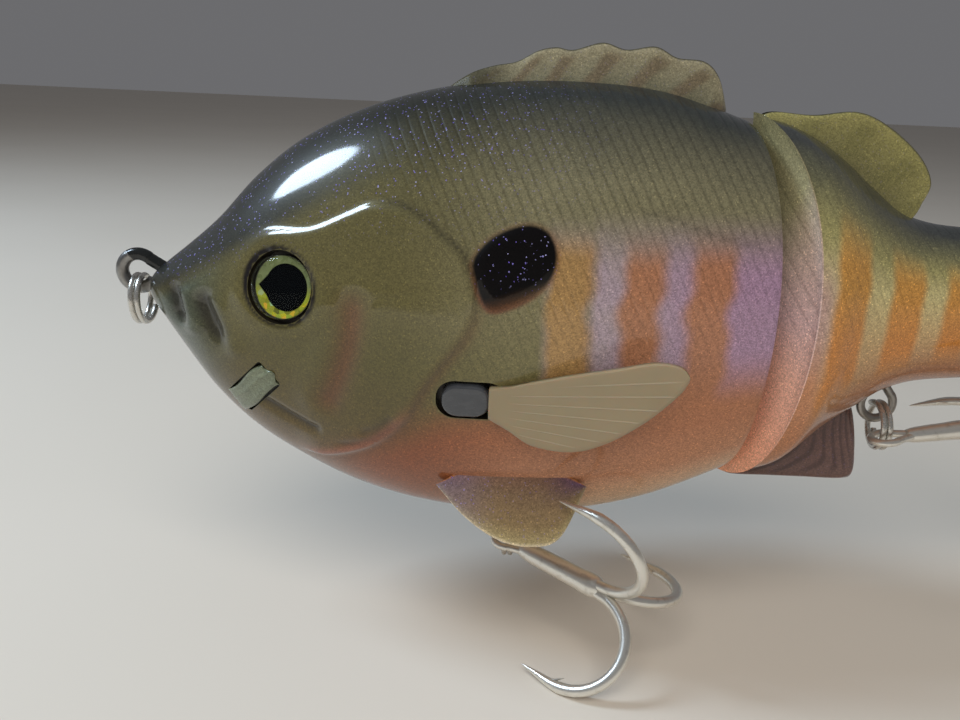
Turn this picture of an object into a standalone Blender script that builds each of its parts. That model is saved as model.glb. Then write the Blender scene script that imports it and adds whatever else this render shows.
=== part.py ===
"""Two-section glide bait shaped like a sunfish, as separate pieces.

Lengths are in millimetres here and become metres when a mesh is made. X runs along the fish from
nose to tail, its left flank faces -Y, and +Z is up. The origin is the middle of the line tie's eye.
"""
import math

import bmesh
import bpy
import numpy as np
from mathutils import Matrix, Vector

MM = 0.001
GAP = 0.3
LEFT, RIGHT = -1, 1

# Body sections from nose to tail: x, top, bottom, half width.
FRONT_STATIONS = (
    (1.6, -1.5, -2.3, 0.5),
    (2.3, 0.0, -3.8, 2.4),
    (4.2, 1.7, -6.2, 4.4),
    (7.5, 4.4, -10.6, 6.9),
    (11.5, 8.0, -15.6, 9.5),
    (16.5, 13.5, -20.2, 11.8),
    (22.5, 18.4, -23.9, 13.9),
    (30.0, 22.3, -27.3, 16.2),
    (38.5, 25.0, -29.6, 17.8),
    (48.0, 26.6, -30.7, 18.3),
    (58.0, 27.0, -30.5, 17.9),
    (68.0, 26.2, -28.3, 16.5),
    (78.6, 23.0, -23.3, 14.3),
)
REAR_STATIONS = (
    (79.6, 23.7, -24.0, 13.6),
    (83.5, 22.8, -22.9, 13.3),
    (88.0, 20.9, -20.2, 12.5),
    (92.0, 18.4, -17.4, 11.4),
    (96.0, 15.3, -14.6, 10.1),
    (100.0, 12.5, -11.8, 8.9),
    (104.5, 11.1, -10.2, 7.8),
    (111.0, 10.6, -9.5, 6.6),
    (119.0, 10.1, -9.0, 5.3),
    (126.0, 10.4, -9.4, 4.0),
    (131.0, 11.2, -10.4, 2.8),
)
BELLY_FULLNESS = 0.80
BACK_FULLNESS = 1.10
SECTION_STEPS = 14
FRONT_STEPS = 26
REAR_STEPS = 18
WALL = 2.2
FRONT_HOLLOW = (28.0, 67.0, -13.0)
REAR_HOLLOW = (89.0, 112.0, -4.0)

# The hinge: the two facing walls are shallow vees about a vertical pin.
HINGE_X = 82.0
FRONT_VEE = math.tan(math.radians(12.5))
REAR_VEE = math.tan(math.radians(27.0))
VEE_BLEND = 16.0
HINGE_EYE_HEIGHTS = {"hinge_eye_upper": 12.0, "hinge_eye_lower": -12.0}
HINGE_EYE_RADIUS = 1.65
HINGE_WIRE = 0.6
PIN_RADIUS = 0.75
PIN_ENDS = (-17.0, 17.0)

# Fins that are moulded with the shells: outlines in the middle plane.
DORSAL_OUTLINE = (
    (41.5, 24.6), (43.6, 27.2), (46.4, 28.2), (49.2, 28.8), (51.8, 30.2), (54.0, 30.7),
    (56.2, 30.5), (59.8, 31.5), (62.8, 30.8), (66.4, 31.3), (69.2, 30.1), (72.6, 29.8),
    (74.4, 28.0), (75.6, 24.9), (72.0, 23.4), (56.0, 25.4),
)
LOBE_OUTLINE = (
    (80.6, 22.6), (82.0, 24.2), (87.2, 24.0), (92.6, 24.6), (96.9, 23.0), (101.4, 19.6),
    (103.5, 16.2), (102.4, 13.4), (100.8, 11.0), (95.0, 13.8), (88.0, 18.8),
)
ANAL_FLAT = -25.6
ANAL_CORNERS = (
    (81.2, -22.0), (81.6, -25.1), (83.0, ANAL_FLAT), (98.6, ANAL_FLAT), (99.9, -24.6),
    (99.4, -19.4), (97.3, -15.2), (96.2, -12.8), (88.0, -18.6),
)
FIN_HALF = 0.75

# Eyes, lips and side fins.
EYE_CENTRE = (21.9, 1.6)
EYE_RADIUS = 3.9
EYE_SOCKET = 4.5
LIP_CENTRE = (18.0, -12.1)
LIP_SIZE = (6.2, 2.9)
LIP_SLOPE = math.radians(42.0)
PECTORAL_ROOT = (44.8, -10.2)
ROOT_SIZE = (5.8, 4.2)
PECTORAL_OUTLINE = (
    (48.5, -8.2), (52.0, -7.0), (57.0, -5.7), (62.0, -4.4), (66.6, -3.2), (69.2, -3.6),
    (69.6, -5.4), (68.0, -7.8), (65.0, -10.8), (61.6, -13.6), (57.6, -15.2), (53.0, -15.0),
    (48.5, -12.4),
)
PECTORAL_ROOT_Y = 18.4
PECTORAL_FLARE = 0.18
PELVIC_OUTLINE = (
    (41.4, -22.9), (46.0, -20.6), (56.5, -20.6), (60.6, -22.4), (59.9, -25.4), (57.4, -28.3),
    (53.6, -29.5), (49.4, -28.8), (45.2, -26.4),
)
PELVIC_TOP_Z = -21.5
PELVIC_TOP_Y = 13.4
PELVIC_FLARE = math.tan(math.radians(25.0))
SIDE_FIN_THICKNESS = 0.9

# Wire eyes, split rings and trebles.
TIE_RADIUS = 2.25
TIE_WIRE = 0.85
RING_RADIUS = 3.1
RING_WIRE = 0.4
RING_PITCH = 0.86
RING_TURNS = 1.75
NOSE_RING_CENTRE = Vector((0.25, 0.0, -3.8))
HANGER_WIRE = 0.6
HANGER_MOUTH = 2.5
HANGER_RADIUS = 2.2
BELLY_HANGER = Vector((51.3, 0.0, -33.2))
REAR_HANGER = Vector((101.6, 0.0, -14.05))
RING_OFFSET = 1.6
RING_DROP = {"belly": 0.0, "rear": math.radians(15.0)}
BELLY_HOOK = {
    "shank_radius": 1.45, "shank": 15.7, "bend": 6.4, "wire": 0.75, "eye": 1.85, "eye_wire": 0.5,
    "point": 4.9, "axis": Vector((0.756, -0.652, -0.057)), "first_arm": Vector((-0.185, -0.296, 0.937)),
}
REAR_HOOK = {
    "shank_radius": 1.2, "shank": 11.8, "bend": 5.0, "wire": 0.62, "eye": 1.85, "eye_wire": 0.5,
    "point": 4.2, "axis": Vector((0.985, 0.0, 0.17)), "first_arm": Vector((0.0, 1.0, 0.0)),
}

# Weights and tail.
BALLASTS = {"ballast_fore": (29.0, 42.0, -20.0, 3.4), "ballast_aft": (58.0, 68.0, -20.0, 3.4)}
REAR_BALLAST = ("rear_ballast", (90.5, 96.5, -8.5, 2.6))
TAIL_OUTLINE = (
    (127.8, 6.0), (131.8, 6.8), (134.4, 10.2), (140.0, 14.6), (148.0, 19.4), (156.0, 21.6), (160.0, 20.6),
    (156.6, 12.6), (154.4, 4.6), (154.0, -0.8), (154.8, -6.4), (157.0, -13.8), (159.6, -19.6),
    (155.0, -20.4), (147.6, -18.2), (139.6, -13.8), (134.4, -9.6),
    (131.8, -6.6), (127.8, -5.8),
)
TAIL_HALF = 0.8
TAIL_PIN = (129.4, 0.0)
TAIL_PIN_RADIUS = 0.6

FINISHES = {
    "paint": ((0.30, 0.24, 0.10, 1.0), 0.22, 0.3),
    "tinned_wire": ((0.72, 0.71, 0.68, 1.0), 0.28, 1.0),
    "black_wire": ((0.05, 0.05, 0.05, 1.0), 0.35, 0.9),
    "iris_foil": ((0.55, 0.50, 0.10, 1.0), 0.25, 0.6),
    "clear_resin": ((0.95, 0.95, 0.95, 1.0), 0.05, 0.0),
    "soft_fin": ((0.66, 0.58, 0.42, 1.0), 0.40, 0.0),
    "dark_plastic": ((0.10, 0.11, 0.12, 1.0), 0.20, 0.0),
    "lead": ((0.30, 0.31, 0.33, 1.0), 0.60, 0.9),
}


def clear_scene():
    for item in list(bpy.data.objects):
        bpy.data.objects.remove(item, do_unlink=True)


def material(name):
    """The Principled material of one finish, made once."""
    if name in bpy.data.materials:
        return bpy.data.materials[name]
    colour, roughness, metallic = FINISHES[name]
    made = bpy.data.materials.new(name)
    made.use_nodes = True
    shader = made.node_tree.nodes["Principled BSDF"]
    shader.inputs["Base Color"].default_value = colour
    shader.inputs["Roughness"].default_value = roughness
    shader.inputs["Metallic"].default_value = metallic
    made.diffuse_color = colour
    return made


def to_object(name, bm, finish, pivot=(0.0, 0.0, 0.0)):
    """A closed mesh in millimetres as an object whose origin is the pivot."""
    bmesh.ops.recalc_face_normals(bm, faces=bm.faces)
    pivot = Vector(pivot)
    bmesh.ops.translate(bm, verts=bm.verts, vec=-pivot)
    bmesh.ops.scale(bm, verts=bm.verts, vec=(MM, MM, MM))
    mesh = bpy.data.meshes.new(name)
    bm.to_mesh(mesh)
    bm.free()
    mesh.materials.append(material(finish))
    mesh.shade_smooth()
    mesh.set_sharp_from_angle(angle=math.radians(40.0))
    made = bpy.data.objects.new(name, mesh)
    made.location = pivot * MM
    bpy.context.collection.objects.link(made)
    return made


def combine(target, bm, operation):
    """Unite with or cut from an object the closed mesh bm, which is in world millimetres."""
    tool = to_object("tool", bm, "paint")
    modifier = target.modifiers.new(operation, "BOOLEAN")
    modifier.operation = operation
    modifier.solver = "EXACT"
    modifier.object = tool
    bpy.context.view_layer.update()
    graph = bpy.context.evaluated_depsgraph_get()
    result = bpy.data.meshes.new_from_object(target.evaluated_get(graph))
    target.modifiers.clear()
    old = target.data
    target.data = result
    bpy.data.meshes.remove(old)
    bpy.data.objects.remove(tool, do_unlink=True)


def smooth_rows(rows, count, closed=False):
    """Rows read at even steps along a Catmull-Rom curve through the given rows."""
    rows = np.array(rows, float)
    if closed:
        padded = np.vstack([rows[-1], rows, rows[0], rows[1]])
        last = len(rows)
    else:
        padded = np.vstack([2 * rows[0] - rows[1], rows, 2 * rows[-1] - rows[-2]])
        last = len(rows) - 1
    result = []
    for step in np.linspace(0.0, last, count, endpoint=not closed):
        index = min(int(step), last - 1)
        f = step - index
        a, b, c, d = padded[index:index + 4]
        result.append(0.5 * (2 * b + (c - a) * f + (2 * a - 5 * b + 4 * c - d) * f**2
                             + (3 * b - a - 3 * c + d) * f**3))
    return result


def fullness(lift):
    """Exponent of a section's side, from rounder at the belly to leaner at the back."""
    return BELLY_FULLNESS + (BACK_FULLNESS - BELLY_FULLNESS) * (lift + 1.0) / 2.0


def vee_shift(x, y, vee):
    """How far a point moves along X so that the walls at the hinge lie on the vee."""
    start, slope = vee
    near = max(0.0, 1.0 - abs(x - start) / VEE_BLEND)
    return slope * abs(y) * near * near * (3.0 - 2.0 * near)


def half_body(rows, vee, side, inset=0.0, seam=GAP / 2):
    """One half of a body section: a closed lump from the seam plane out to the flank."""
    bm = bmesh.new()
    rings = []
    for x, top, bottom, half in rows:
        ring = []
        for step in range(SECTION_STEPS + 1):
            lift = math.sin(math.pi * (step / SECTION_STEPS - 0.5))
            reach = max(0.0, 1.0 - lift * lift) ** (fullness(lift) / 2)
            y = seam + (half - inset - seam) * reach
            z = (top + bottom) / 2 + ((top - bottom) / 2 - inset) * lift
            ring.append(bm.verts.new((x + vee_shift(x, y, vee), y * side, z)))
        rings.append(ring)
    for ring, following in zip(rings, rings[1:]):
        for j in range(SECTION_STEPS):
            bm.faces.new((ring[j], ring[j + 1], following[j + 1], following[j]))
        bm.faces.new((ring[0], following[0], following[-1], ring[-1]))
    bm.faces.new(rings[0])
    bm.faces.new(rings[-1])
    return bm


def flank_y(rows, x, z):
    """Distance of the flank from the middle plane at a given x and z."""
    table = np.array(rows)
    top, bottom, half = (np.interp(x, table[:, 0], table[:, column]) for column in (1, 2, 3))
    lift = (z - (top + bottom) / 2) / ((top - bottom) / 2)
    return half * (1.0 - lift * lift) ** (fullness(lift) / 2)


def flank_frame(rows, place, side):
    """Matrix whose origin is on the flank, with Z out of the body and X tailward along it."""
    x, z = place
    here = Vector((x, side * flank_y(rows, x, z), z))
    along = Vector((x + 1.0, side * flank_y(rows, x + 1.0, z), z)) - here
    upward = Vector((x, side * flank_y(rows, x, z + 1.0), z + 1.0)) - here
    normal = along.cross(upward).normalized()
    if normal.y * side < 0:
        normal = -normal
    along.normalize()
    across = normal.cross(along)
    return Matrix.Translation(here) @ Matrix((along, across, normal)).transposed().to_4x4()


def plate(outline, placing, thickness):
    """A flat plate: a closed outline, given as rows, extruded about the plane it lies in."""
    bm = bmesh.new()
    faces = []
    for offset in (-thickness / 2, thickness / 2):
        faces.append([bm.verts.new(placing(u, v, offset)) for u, v in outline])
    low, high = faces
    bm.faces.new(low)
    bm.faces.new(high)
    for index in range(len(outline)):
        after = (index + 1) % len(outline)
        bm.faces.new((low[index], low[after], high[after], high[index]))
    return bm


def half_fin(outline, side, count):
    """One shell's half of a fin moulded in the middle plane."""
    middle = (GAP / 2 + FIN_HALF) / 2
    return plate(smooth_rows(outline, count, True) if count else outline,
                 lambda u, v, w: (u, side * (middle + w), v), FIN_HALF - GAP / 2)


def slab(frame, length, height, low, high, turn=0.0, corner=0.45):
    """A block with rounded ends, lying in a flank frame between two depths."""
    outline = []
    radius = height * corner
    for cx, cz, start in ((1, 1, 0.0), (-1, 1, 0.5), (-1, -1, 1.0), (1, -1, 1.5)):
        for step in range(5):
            angle = math.pi * (start + step / 8)
            outline.append((cx * (length / 2 - radius) + radius * math.cos(angle),
                            cz * (height / 2 - radius) + radius * math.sin(angle)))
    turned = Matrix.Rotation(turn, 4, "Z")
    middle, depth = (low + high) / 2, high - low
    return plate(outline, lambda u, v, w: frame @ turned @ Vector((u, v, middle + w)), depth)


def turned(profile, frame, sides=28):
    """A round piece about the frame's Z axis, from (radius, height) rows starting on the axis."""
    bm = bmesh.new()
    rings = []
    for radius, height in profile:
        if radius == 0.0:
            rings.append([bm.verts.new(frame @ Vector((0.0, 0.0, height)))])
            continue
        ring = []
        for step in range(sides):
            angle = 2 * math.pi * step / sides
            ring.append(bm.verts.new(frame @ Vector((radius * math.cos(angle),
                                                     radius * math.sin(angle), height))))
        rings.append(ring)
    for ring, following in zip(rings, rings[1:]):
        for step in range(sides):
            after = (step + 1) % sides
            corners = [ring[step % len(ring)], ring[after % len(ring)],
                       following[after % len(following)], following[step % len(following)]]
            bm.faces.new(list(dict.fromkeys(corners)))
    return bm


def cylinder(start, end, radius, sides=16, mouth=None):
    """A closed cylinder between two points, which may start with a wider mouth: (radius, depth)."""
    start, end = Vector(start), Vector(end)
    axis = end - start
    frame = Matrix.Translation(start) @ axis.to_track_quat("Z", "Y").to_matrix().to_4x4()
    profile = [(0.0, 0.0), (radius, 0.0), (radius, axis.length), (0.0, axis.length)]
    if mouth:
        wide, depth = mouth
        profile[1:2] = [(wide, 0.0), (wide, depth), (radius, depth)]
    return turned(profile, frame, sides)


def tube(path, radii, sides=8):
    """A closed round wire along a path, with one radius for each of its points."""
    path = [Vector(point) for point in path]
    bm = bmesh.new()
    tangents = [(b - a).normalized() for a, b in zip(path, path[1:])]
    between = [(a + b).normalized() for a, b in zip(tangents, tangents[1:])]
    tangents = [tangents[0]] + between + [tangents[-1]]
    side = tangents[0].orthogonal().normalized()
    rings = []
    for point, tangent, radius in zip(path, tangents, radii):
        side = (side - tangent * side.dot(tangent)).normalized()
        other = tangent.cross(side)
        rings.append([bm.verts.new(point + radius * (math.cos(a) * side + math.sin(a) * other))
                      for a in (2 * math.pi * step / sides for step in range(sides))])
    for ring, following in zip(rings, rings[1:]):
        for step in range(sides):
            after = (step + 1) % sides
            bm.faces.new((ring[step], ring[after], following[after], following[step]))
    bm.faces.new(rings[0])
    bm.faces.new(rings[-1])
    return bm


def screw_eye(name, centre, radius, wire, plane_x, plane_y, shank, finish):
    """A wire loop about centre in the plane of two axes, whose shank runs off along plane_x."""
    centre, plane_x, plane_y = Vector(centre), Vector(plane_x), Vector(plane_y)
    neck = radius + 2.4 * wire
    path = [centre + plane_x * (neck + shank), centre + plane_x * neck]
    first, last = math.radians(44.0), math.radians(326.0)
    turns = 20
    for step in range(turns + 1):
        angle = first + (last - first) * step / turns
        path.append(centre + radius * (math.cos(angle) * plane_x + math.sin(angle) * plane_y))
    return to_object(name, tube(path, [wire] * len(path)), finish, centre)


def split_ring(name, centre, pivot):
    """Two close turns of wire about the X axis."""
    steps = 44
    path = []
    for step in range(steps + 1):
        part = step / steps
        angle = 2 * math.pi * RING_TURNS * part + math.pi / 3
        path.append(centre + Vector((RING_PITCH * RING_TURNS * (part - 0.5), RING_RADIUS * math.cos(angle),
                                     RING_RADIUS * math.sin(angle))))
    return to_object(name, tube(path, [RING_WIRE] * len(path), 7), "tinned_wire", pivot)


def treble(name, eye, size):
    """A three-point hook: eye loop, brazed shank and three bent arms."""
    axis = size["axis"].normalized()
    first = (size["first_arm"] - axis * size["first_arm"].dot(axis)).normalized()
    up = Vector((0, 0, 1))
    flat = axis.cross(up - axis * up.dot(axis)).normalized()
    loop = size["eye"]
    start, end = loop + 1.6, size["shank"]
    hook = to_object(name, cylinder(eye + axis * start, eye + axis * end, size["shank_radius"], 12),
                     "tinned_wire", eye)
    path = [eye + axis * (start + 1.2) + flat * 0.3]
    for step in range(15):
        angle = math.radians(38.0) + (2 * math.pi - math.radians(76.0)) * step / 14
        path.append(eye + loop * (math.cos(angle) * axis + math.sin(angle) * flat))
    path.append(eye + axis * (start + 1.2) - flat * 0.3)
    combine(hook, tube(path, [size["eye_wire"]] * len(path)), "UNION")
    for arm in range(3):
        outward = Matrix.Rotation(2 * math.pi * arm / 3, 3, axis) @ first
        combine(hook, arm_tube(eye, axis, outward, size), "UNION")
    return hook


def arm_tube(eye, axis, outward, size):
    """One arm of a treble, from inside the shank round its bend to its point."""
    end, bend, wire = size["shank"], size["bend"], size["wire"]
    root = 0.8 * wire
    rows = [(end - 2.4, root), (end - 1.2, root)]
    for step in range(13):
        angle = math.pi * step / 12
        rows.append((end + 1.1 * bend * math.sin(angle), root + bend * (1.0 - math.cos(angle))))
    tip = size["point"]
    rows += [(end - 0.45 * tip, root + 2 * bend - 0.1), (end - tip, root + 2 * bend - 0.2)]
    radii = [0.96 * wire, wire] + [wire] * 13 + [0.8 * wire, 0.1 * wire]
    return tube([eye + axis * a + outward * b for a, b in rows], radii)


def front_shells():
    """The two hollow halves of the front section."""
    rows = smooth_rows(FRONT_STATIONS, FRONT_STEPS)
    vee = (FRONT_STATIONS[-1][0], FRONT_VEE)
    start, end, floor = FRONT_HOLLOW
    hollow = [(x, top, floor - WALL, half) for x, top, bottom, half in rows if start < x < end]
    for name, side in (("front_shell_left", LEFT), ("front_shell_right", RIGHT)):
        shell = to_object(name, half_body(rows, vee, side), "paint")
        combine(shell, half_fin(DORSAL_OUTLINE, side, 34), "UNION")
        combine(shell, half_body(hollow, vee, side, WALL, -1.0), "DIFFERENCE")
        socket = flank_frame(rows, EYE_CENTRE, side)
        combine(shell, turned(((0.0, -2.2), (EYE_SOCKET, -2.2), (EYE_SOCKET, 4.0), (0.0, 4.0)), socket),
                "DIFFERENCE")
        lip = flank_frame(rows, LIP_CENTRE, side)
        combine(shell, slab(lip, LIP_SIZE[0] + 2 * GAP, LIP_SIZE[1] + 2 * GAP, -1.6, 4.0, LIP_SLOPE * -side,
                            0.25), "DIFFERENCE")
        root = flank_frame(rows, PECTORAL_ROOT, side)
        combine(shell, slab(root, ROOT_SIZE[0] + 2.0, ROOT_SIZE[1] + 2 * GAP, -1.8, 4.0), "DIFFERENCE")
        combine(shell, pelvic_plate(side, GAP), "DIFFERENCE")
        for start, end, radius, mouth in front_bores():
            combine(shell, cylinder(start, end, radius, 16, mouth), "DIFFERENCE")


def front_bores():
    """Round holes on the seam: line tie, belly hanger, hinge eyes and ballast pockets."""
    slot = TIE_WIRE + GAP
    mouth = (HANGER_MOUTH, -29.6 - BELLY_HANGER.z)
    bores = [((-1.0, 0, 0), (15.0, 0, 0), slot, (2 * TIE_WIRE, 5.4))]
    bores.append(((0, -slot, 0), (0, slot, 0), TIE_RADIUS + slot, None))
    bores.append((BELLY_HANGER, (BELLY_HANGER.x, 0, -21.5), HANGER_WIRE + GAP, mouth))
    for height in HINGE_EYE_HEIGHTS.values():
        bores.append(((69.5, 0, height), (81.0, 0, height), HINGE_WIRE + GAP, None))
    for start, end, z, radius in BALLASTS.values():
        bores.append(((start - GAP, 0, z), (end + GAP, 0, z), radius + GAP, None))
    return bores


def rear_shells():
    """The two hollow halves of the rear section."""
    rows = smooth_rows(REAR_STATIONS, REAR_STEPS)
    vee = (REAR_STATIONS[0][0], REAR_VEE)
    start, end, floor = REAR_HOLLOW
    hollow = [(x, top, floor - WALL, half) for x, top, bottom, half in rows if start < x < end]
    for name, side in (("rear_shell_left", LEFT), ("rear_shell_right", RIGHT)):
        shell = to_object(name, half_body(rows, vee, side), "paint", (HINGE_X, 0, 0))
        combine(shell, half_fin(LOBE_OUTLINE, side, 30), "UNION")
        combine(shell, half_fin(ANAL_CORNERS, side, 0), "UNION")
        combine(shell, half_body(hollow, vee, side, WALL, -1.0), "DIFFERENCE")
        for height in HINGE_EYE_HEIGHTS.values():
            combine(shell, block((78.0, -1.0 * side, height - 1.1), (85.2, 3.0 * side, height + 1.1)),
                    "DIFFERENCE")
        combine(shell, block((126.9, -1.0 * side, -7.8), (134.0, (TAIL_HALF + GAP) * side, 8.1)),
                "DIFFERENCE")
        for start, end, radius, mouth in rear_bores():
            combine(shell, cylinder(start, end, radius, 16, mouth), "DIFFERENCE")


def block(low, high):
    """A box between two corners."""
    outline = ((low[0], low[1]), (high[0], low[1]), (high[0], high[1]), (low[0], high[1]))
    middle = (low[2] + high[2]) / 2
    return plate(outline, lambda u, v, w: (u, v, middle + w), high[2] - low[2])


def rear_bores():
    """Round holes on the seam: hinge pin, rear hanger, ballast pocket and tail pin."""
    start, end, z, radius = REAR_BALLAST[1]
    mouth = (HANGER_MOUTH, -9.8 - REAR_HANGER.z)
    return [
        ((HINGE_X, 0, PIN_ENDS[0] - GAP), (HINGE_X, 0, PIN_ENDS[1] + GAP), PIN_RADIUS + GAP, None),
        (REAR_HANGER, (REAR_HANGER.x, 0, -4.5), HANGER_WIRE + GAP, mouth),
        ((start - GAP, 0, z), (end + GAP, 0, z), radius + GAP, None),
        ((TAIL_PIN[0], -6.0, 0), (TAIL_PIN[0], 6.0, 0), TAIL_PIN_RADIUS + GAP, None),
    ]


def pelvic_plate(side, grow=0.0):
    """The pelvic fin's leaf, flared outward and down from its slot in the belly."""
    tilt = math.atan(PELVIC_FLARE)

    def placing(u, v, w):
        y = PELVIC_TOP_Y + PELVIC_FLARE * (PELVIC_TOP_Z - v) + w * math.cos(tilt)
        return (u, side * y, v + w * math.sin(tilt))

    outline = np.array(smooth_rows(PELVIC_OUTLINE, 30, True))
    middle = outline.mean(axis=0)
    outline = middle + (outline - middle) * (1.0 + grow / 5.0)
    return plate(outline, placing, SIDE_FIN_THICKNESS + 2 * grow)


def pectoral_plate(side):
    """The pectoral fin: a soft flat leaf that stands out from the flank toward its tip."""
    tilt = math.atan(PECTORAL_FLARE)

    def placing(u, v, w):
        y = PECTORAL_ROOT_Y + PECTORAL_FLARE * (u - PECTORAL_OUTLINE[0][0]) + w * math.cos(tilt)
        return (u - w * math.sin(tilt), side * y, v)

    return plate(smooth_rows(PECTORAL_OUTLINE, 36, True), placing, SIDE_FIN_THICKNESS)


def side_pieces():
    """Eyes, lip inserts and paired fins, which come once for each flank."""
    rows = smooth_rows(FRONT_STATIONS, FRONT_STEPS)
    for suffix, side in (("_left", LEFT), ("_right", RIGHT)):
        socket = flank_frame(rows, EYE_CENTRE, side)
        to_object("eye_iris" + suffix, turned(((0.0, -1.9), (EYE_RADIUS, -1.9), (EYE_RADIUS, -1.1),
                                               (0.0, -1.1)), socket), "iris_foil")
        dome = [(0.0, -0.8), (EYE_RADIUS, -0.8), (EYE_RADIUS, -0.3)]
        for step in range(1, 6):
            angle = math.pi / 2 * step / 6
            dome.append((EYE_RADIUS * math.cos(angle), -0.3 + 1.5 * math.sin(angle)))
        to_object("eye_lens" + suffix, turned(dome + [(0.0, 1.2)], socket), "clear_resin")
        lip = flank_frame(rows, LIP_CENTRE, side)
        to_object("lip_insert" + suffix, slab(lip, *LIP_SIZE, -1.3, 0.35, LIP_SLOPE * -side, 0.25), "paint")
        root = flank_frame(rows, PECTORAL_ROOT, side)
        to_object("pectoral_root" + suffix, slab(root, *ROOT_SIZE, -1.5, 0.5), "dark_plastic")
        to_object("pectoral_fin" + suffix, pectoral_plate(side), "soft_fin")
        to_object("pelvic_fin" + suffix, pelvic_plate(side), "paint")


def wire_pieces():
    """Line tie, hangers, hinge eyes, split rings and hooks."""
    x_axis, y_axis, z_axis = Vector((1, 0, 0)), Vector((0, 1, 0)), Vector((0, 0, 1))
    screw_eye("line_tie", (0, 0, 0), TIE_RADIUS, TIE_WIRE, x_axis, z_axis, 10.0, "black_wire")
    for name, centre, shank in (("belly_hanger", BELLY_HANGER, 7.6), ("rear_hanger", REAR_HANGER, 5.7)):
        screw_eye(name, centre, HANGER_RADIUS, HANGER_WIRE, z_axis, x_axis, shank, "tinned_wire")
    for name, height in HINGE_EYE_HEIGHTS.items():
        centre = (HINGE_X, 0, height)
        screw_eye(name, centre, HINGE_EYE_RADIUS, HINGE_WIRE, -x_axis, y_axis, 8.0, "tinned_wire")
    split_ring("nose_split_ring", NOSE_RING_CENTRE, (NOSE_RING_CENTRE.x, 0, -TIE_RADIUS))
    for name, hanger, hook, size in (("belly", BELLY_HANGER, "belly_treble", BELLY_HOOK),
                                     ("rear", REAR_HANGER, "rear_treble", REAR_HOOK)):
        pivot = hanger - HANGER_RADIUS * z_axis
        away = -math.cos(RING_DROP[name]) * y_axis - math.sin(RING_DROP[name]) * z_axis
        split_ring(name + "_split_ring", pivot + RING_OFFSET * away, pivot)
        treble(hook, pivot + (RING_OFFSET + RING_RADIUS) * away, size)


def inner_pieces():
    """Hinge pin, weights, tail fin and the pin that holds it."""
    to_object("hinge_pin", cylinder((HINGE_X, 0, PIN_ENDS[0]), (HINGE_X, 0, PIN_ENDS[1]), PIN_RADIUS),
              "tinned_wire", (HINGE_X, 0, 0))
    for name, (start, end, z, radius) in list(BALLASTS.items()) + [REAR_BALLAST]:
        to_object(name, cylinder((start, 0, z), (end, 0, z), radius, 20), "lead")
    fin = to_object("tail_fin", plate(smooth_rows(TAIL_OUTLINE, 52, True), lambda u, v, w: (u, w, v),
                                      2 * TAIL_HALF), "soft_fin", (HINGE_X, 0, 0))
    combine(fin, cylinder((TAIL_PIN[0], -3, 0), (TAIL_PIN[0], 3, 0), TAIL_PIN_RADIUS + GAP), "DIFFERENCE")
    reach = 2.4
    to_object("tail_pin", cylinder((TAIL_PIN[0], -reach, 0), (TAIL_PIN[0], reach, 0), TAIL_PIN_RADIUS, 12),
              "tinned_wire", (TAIL_PIN[0], 0, 0))


def main():
    clear_scene()
    front_shells()
    rear_shells()
    side_pieces()
    wire_pieces()
    inner_pieces()


main()
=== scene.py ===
"""Looks of a two-section sunfish glide bait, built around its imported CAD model.

Lengths are in millimetres until a mesh is made. X runs from nose to tail, the left flank faces -Y.
"""

import math

import bmesh
import bpy
import numpy as np
from mathutils import Matrix, Vector


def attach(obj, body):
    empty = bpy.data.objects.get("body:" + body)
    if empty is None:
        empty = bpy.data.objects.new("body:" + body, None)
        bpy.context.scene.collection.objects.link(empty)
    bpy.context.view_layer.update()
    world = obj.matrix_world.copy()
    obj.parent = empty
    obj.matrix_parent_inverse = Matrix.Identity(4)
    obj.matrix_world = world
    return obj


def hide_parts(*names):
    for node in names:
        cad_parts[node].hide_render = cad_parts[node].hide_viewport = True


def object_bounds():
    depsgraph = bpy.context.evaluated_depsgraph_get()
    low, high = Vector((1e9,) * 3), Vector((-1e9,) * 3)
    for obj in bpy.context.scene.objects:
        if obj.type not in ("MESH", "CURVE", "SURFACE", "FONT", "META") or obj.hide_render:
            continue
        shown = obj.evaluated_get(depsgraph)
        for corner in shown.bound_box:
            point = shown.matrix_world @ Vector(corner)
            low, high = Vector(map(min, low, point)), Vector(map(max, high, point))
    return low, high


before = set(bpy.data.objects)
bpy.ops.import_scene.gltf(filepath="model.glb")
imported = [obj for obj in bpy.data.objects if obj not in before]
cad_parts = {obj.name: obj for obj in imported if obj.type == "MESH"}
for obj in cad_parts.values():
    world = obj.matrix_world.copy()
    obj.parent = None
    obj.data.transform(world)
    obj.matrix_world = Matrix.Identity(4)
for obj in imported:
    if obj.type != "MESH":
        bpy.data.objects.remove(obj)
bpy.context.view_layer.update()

MM = 0.001
LEFT, RIGHT = -1, 1
SIDES = (("_left", LEFT), ("_right", RIGHT))

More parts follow.
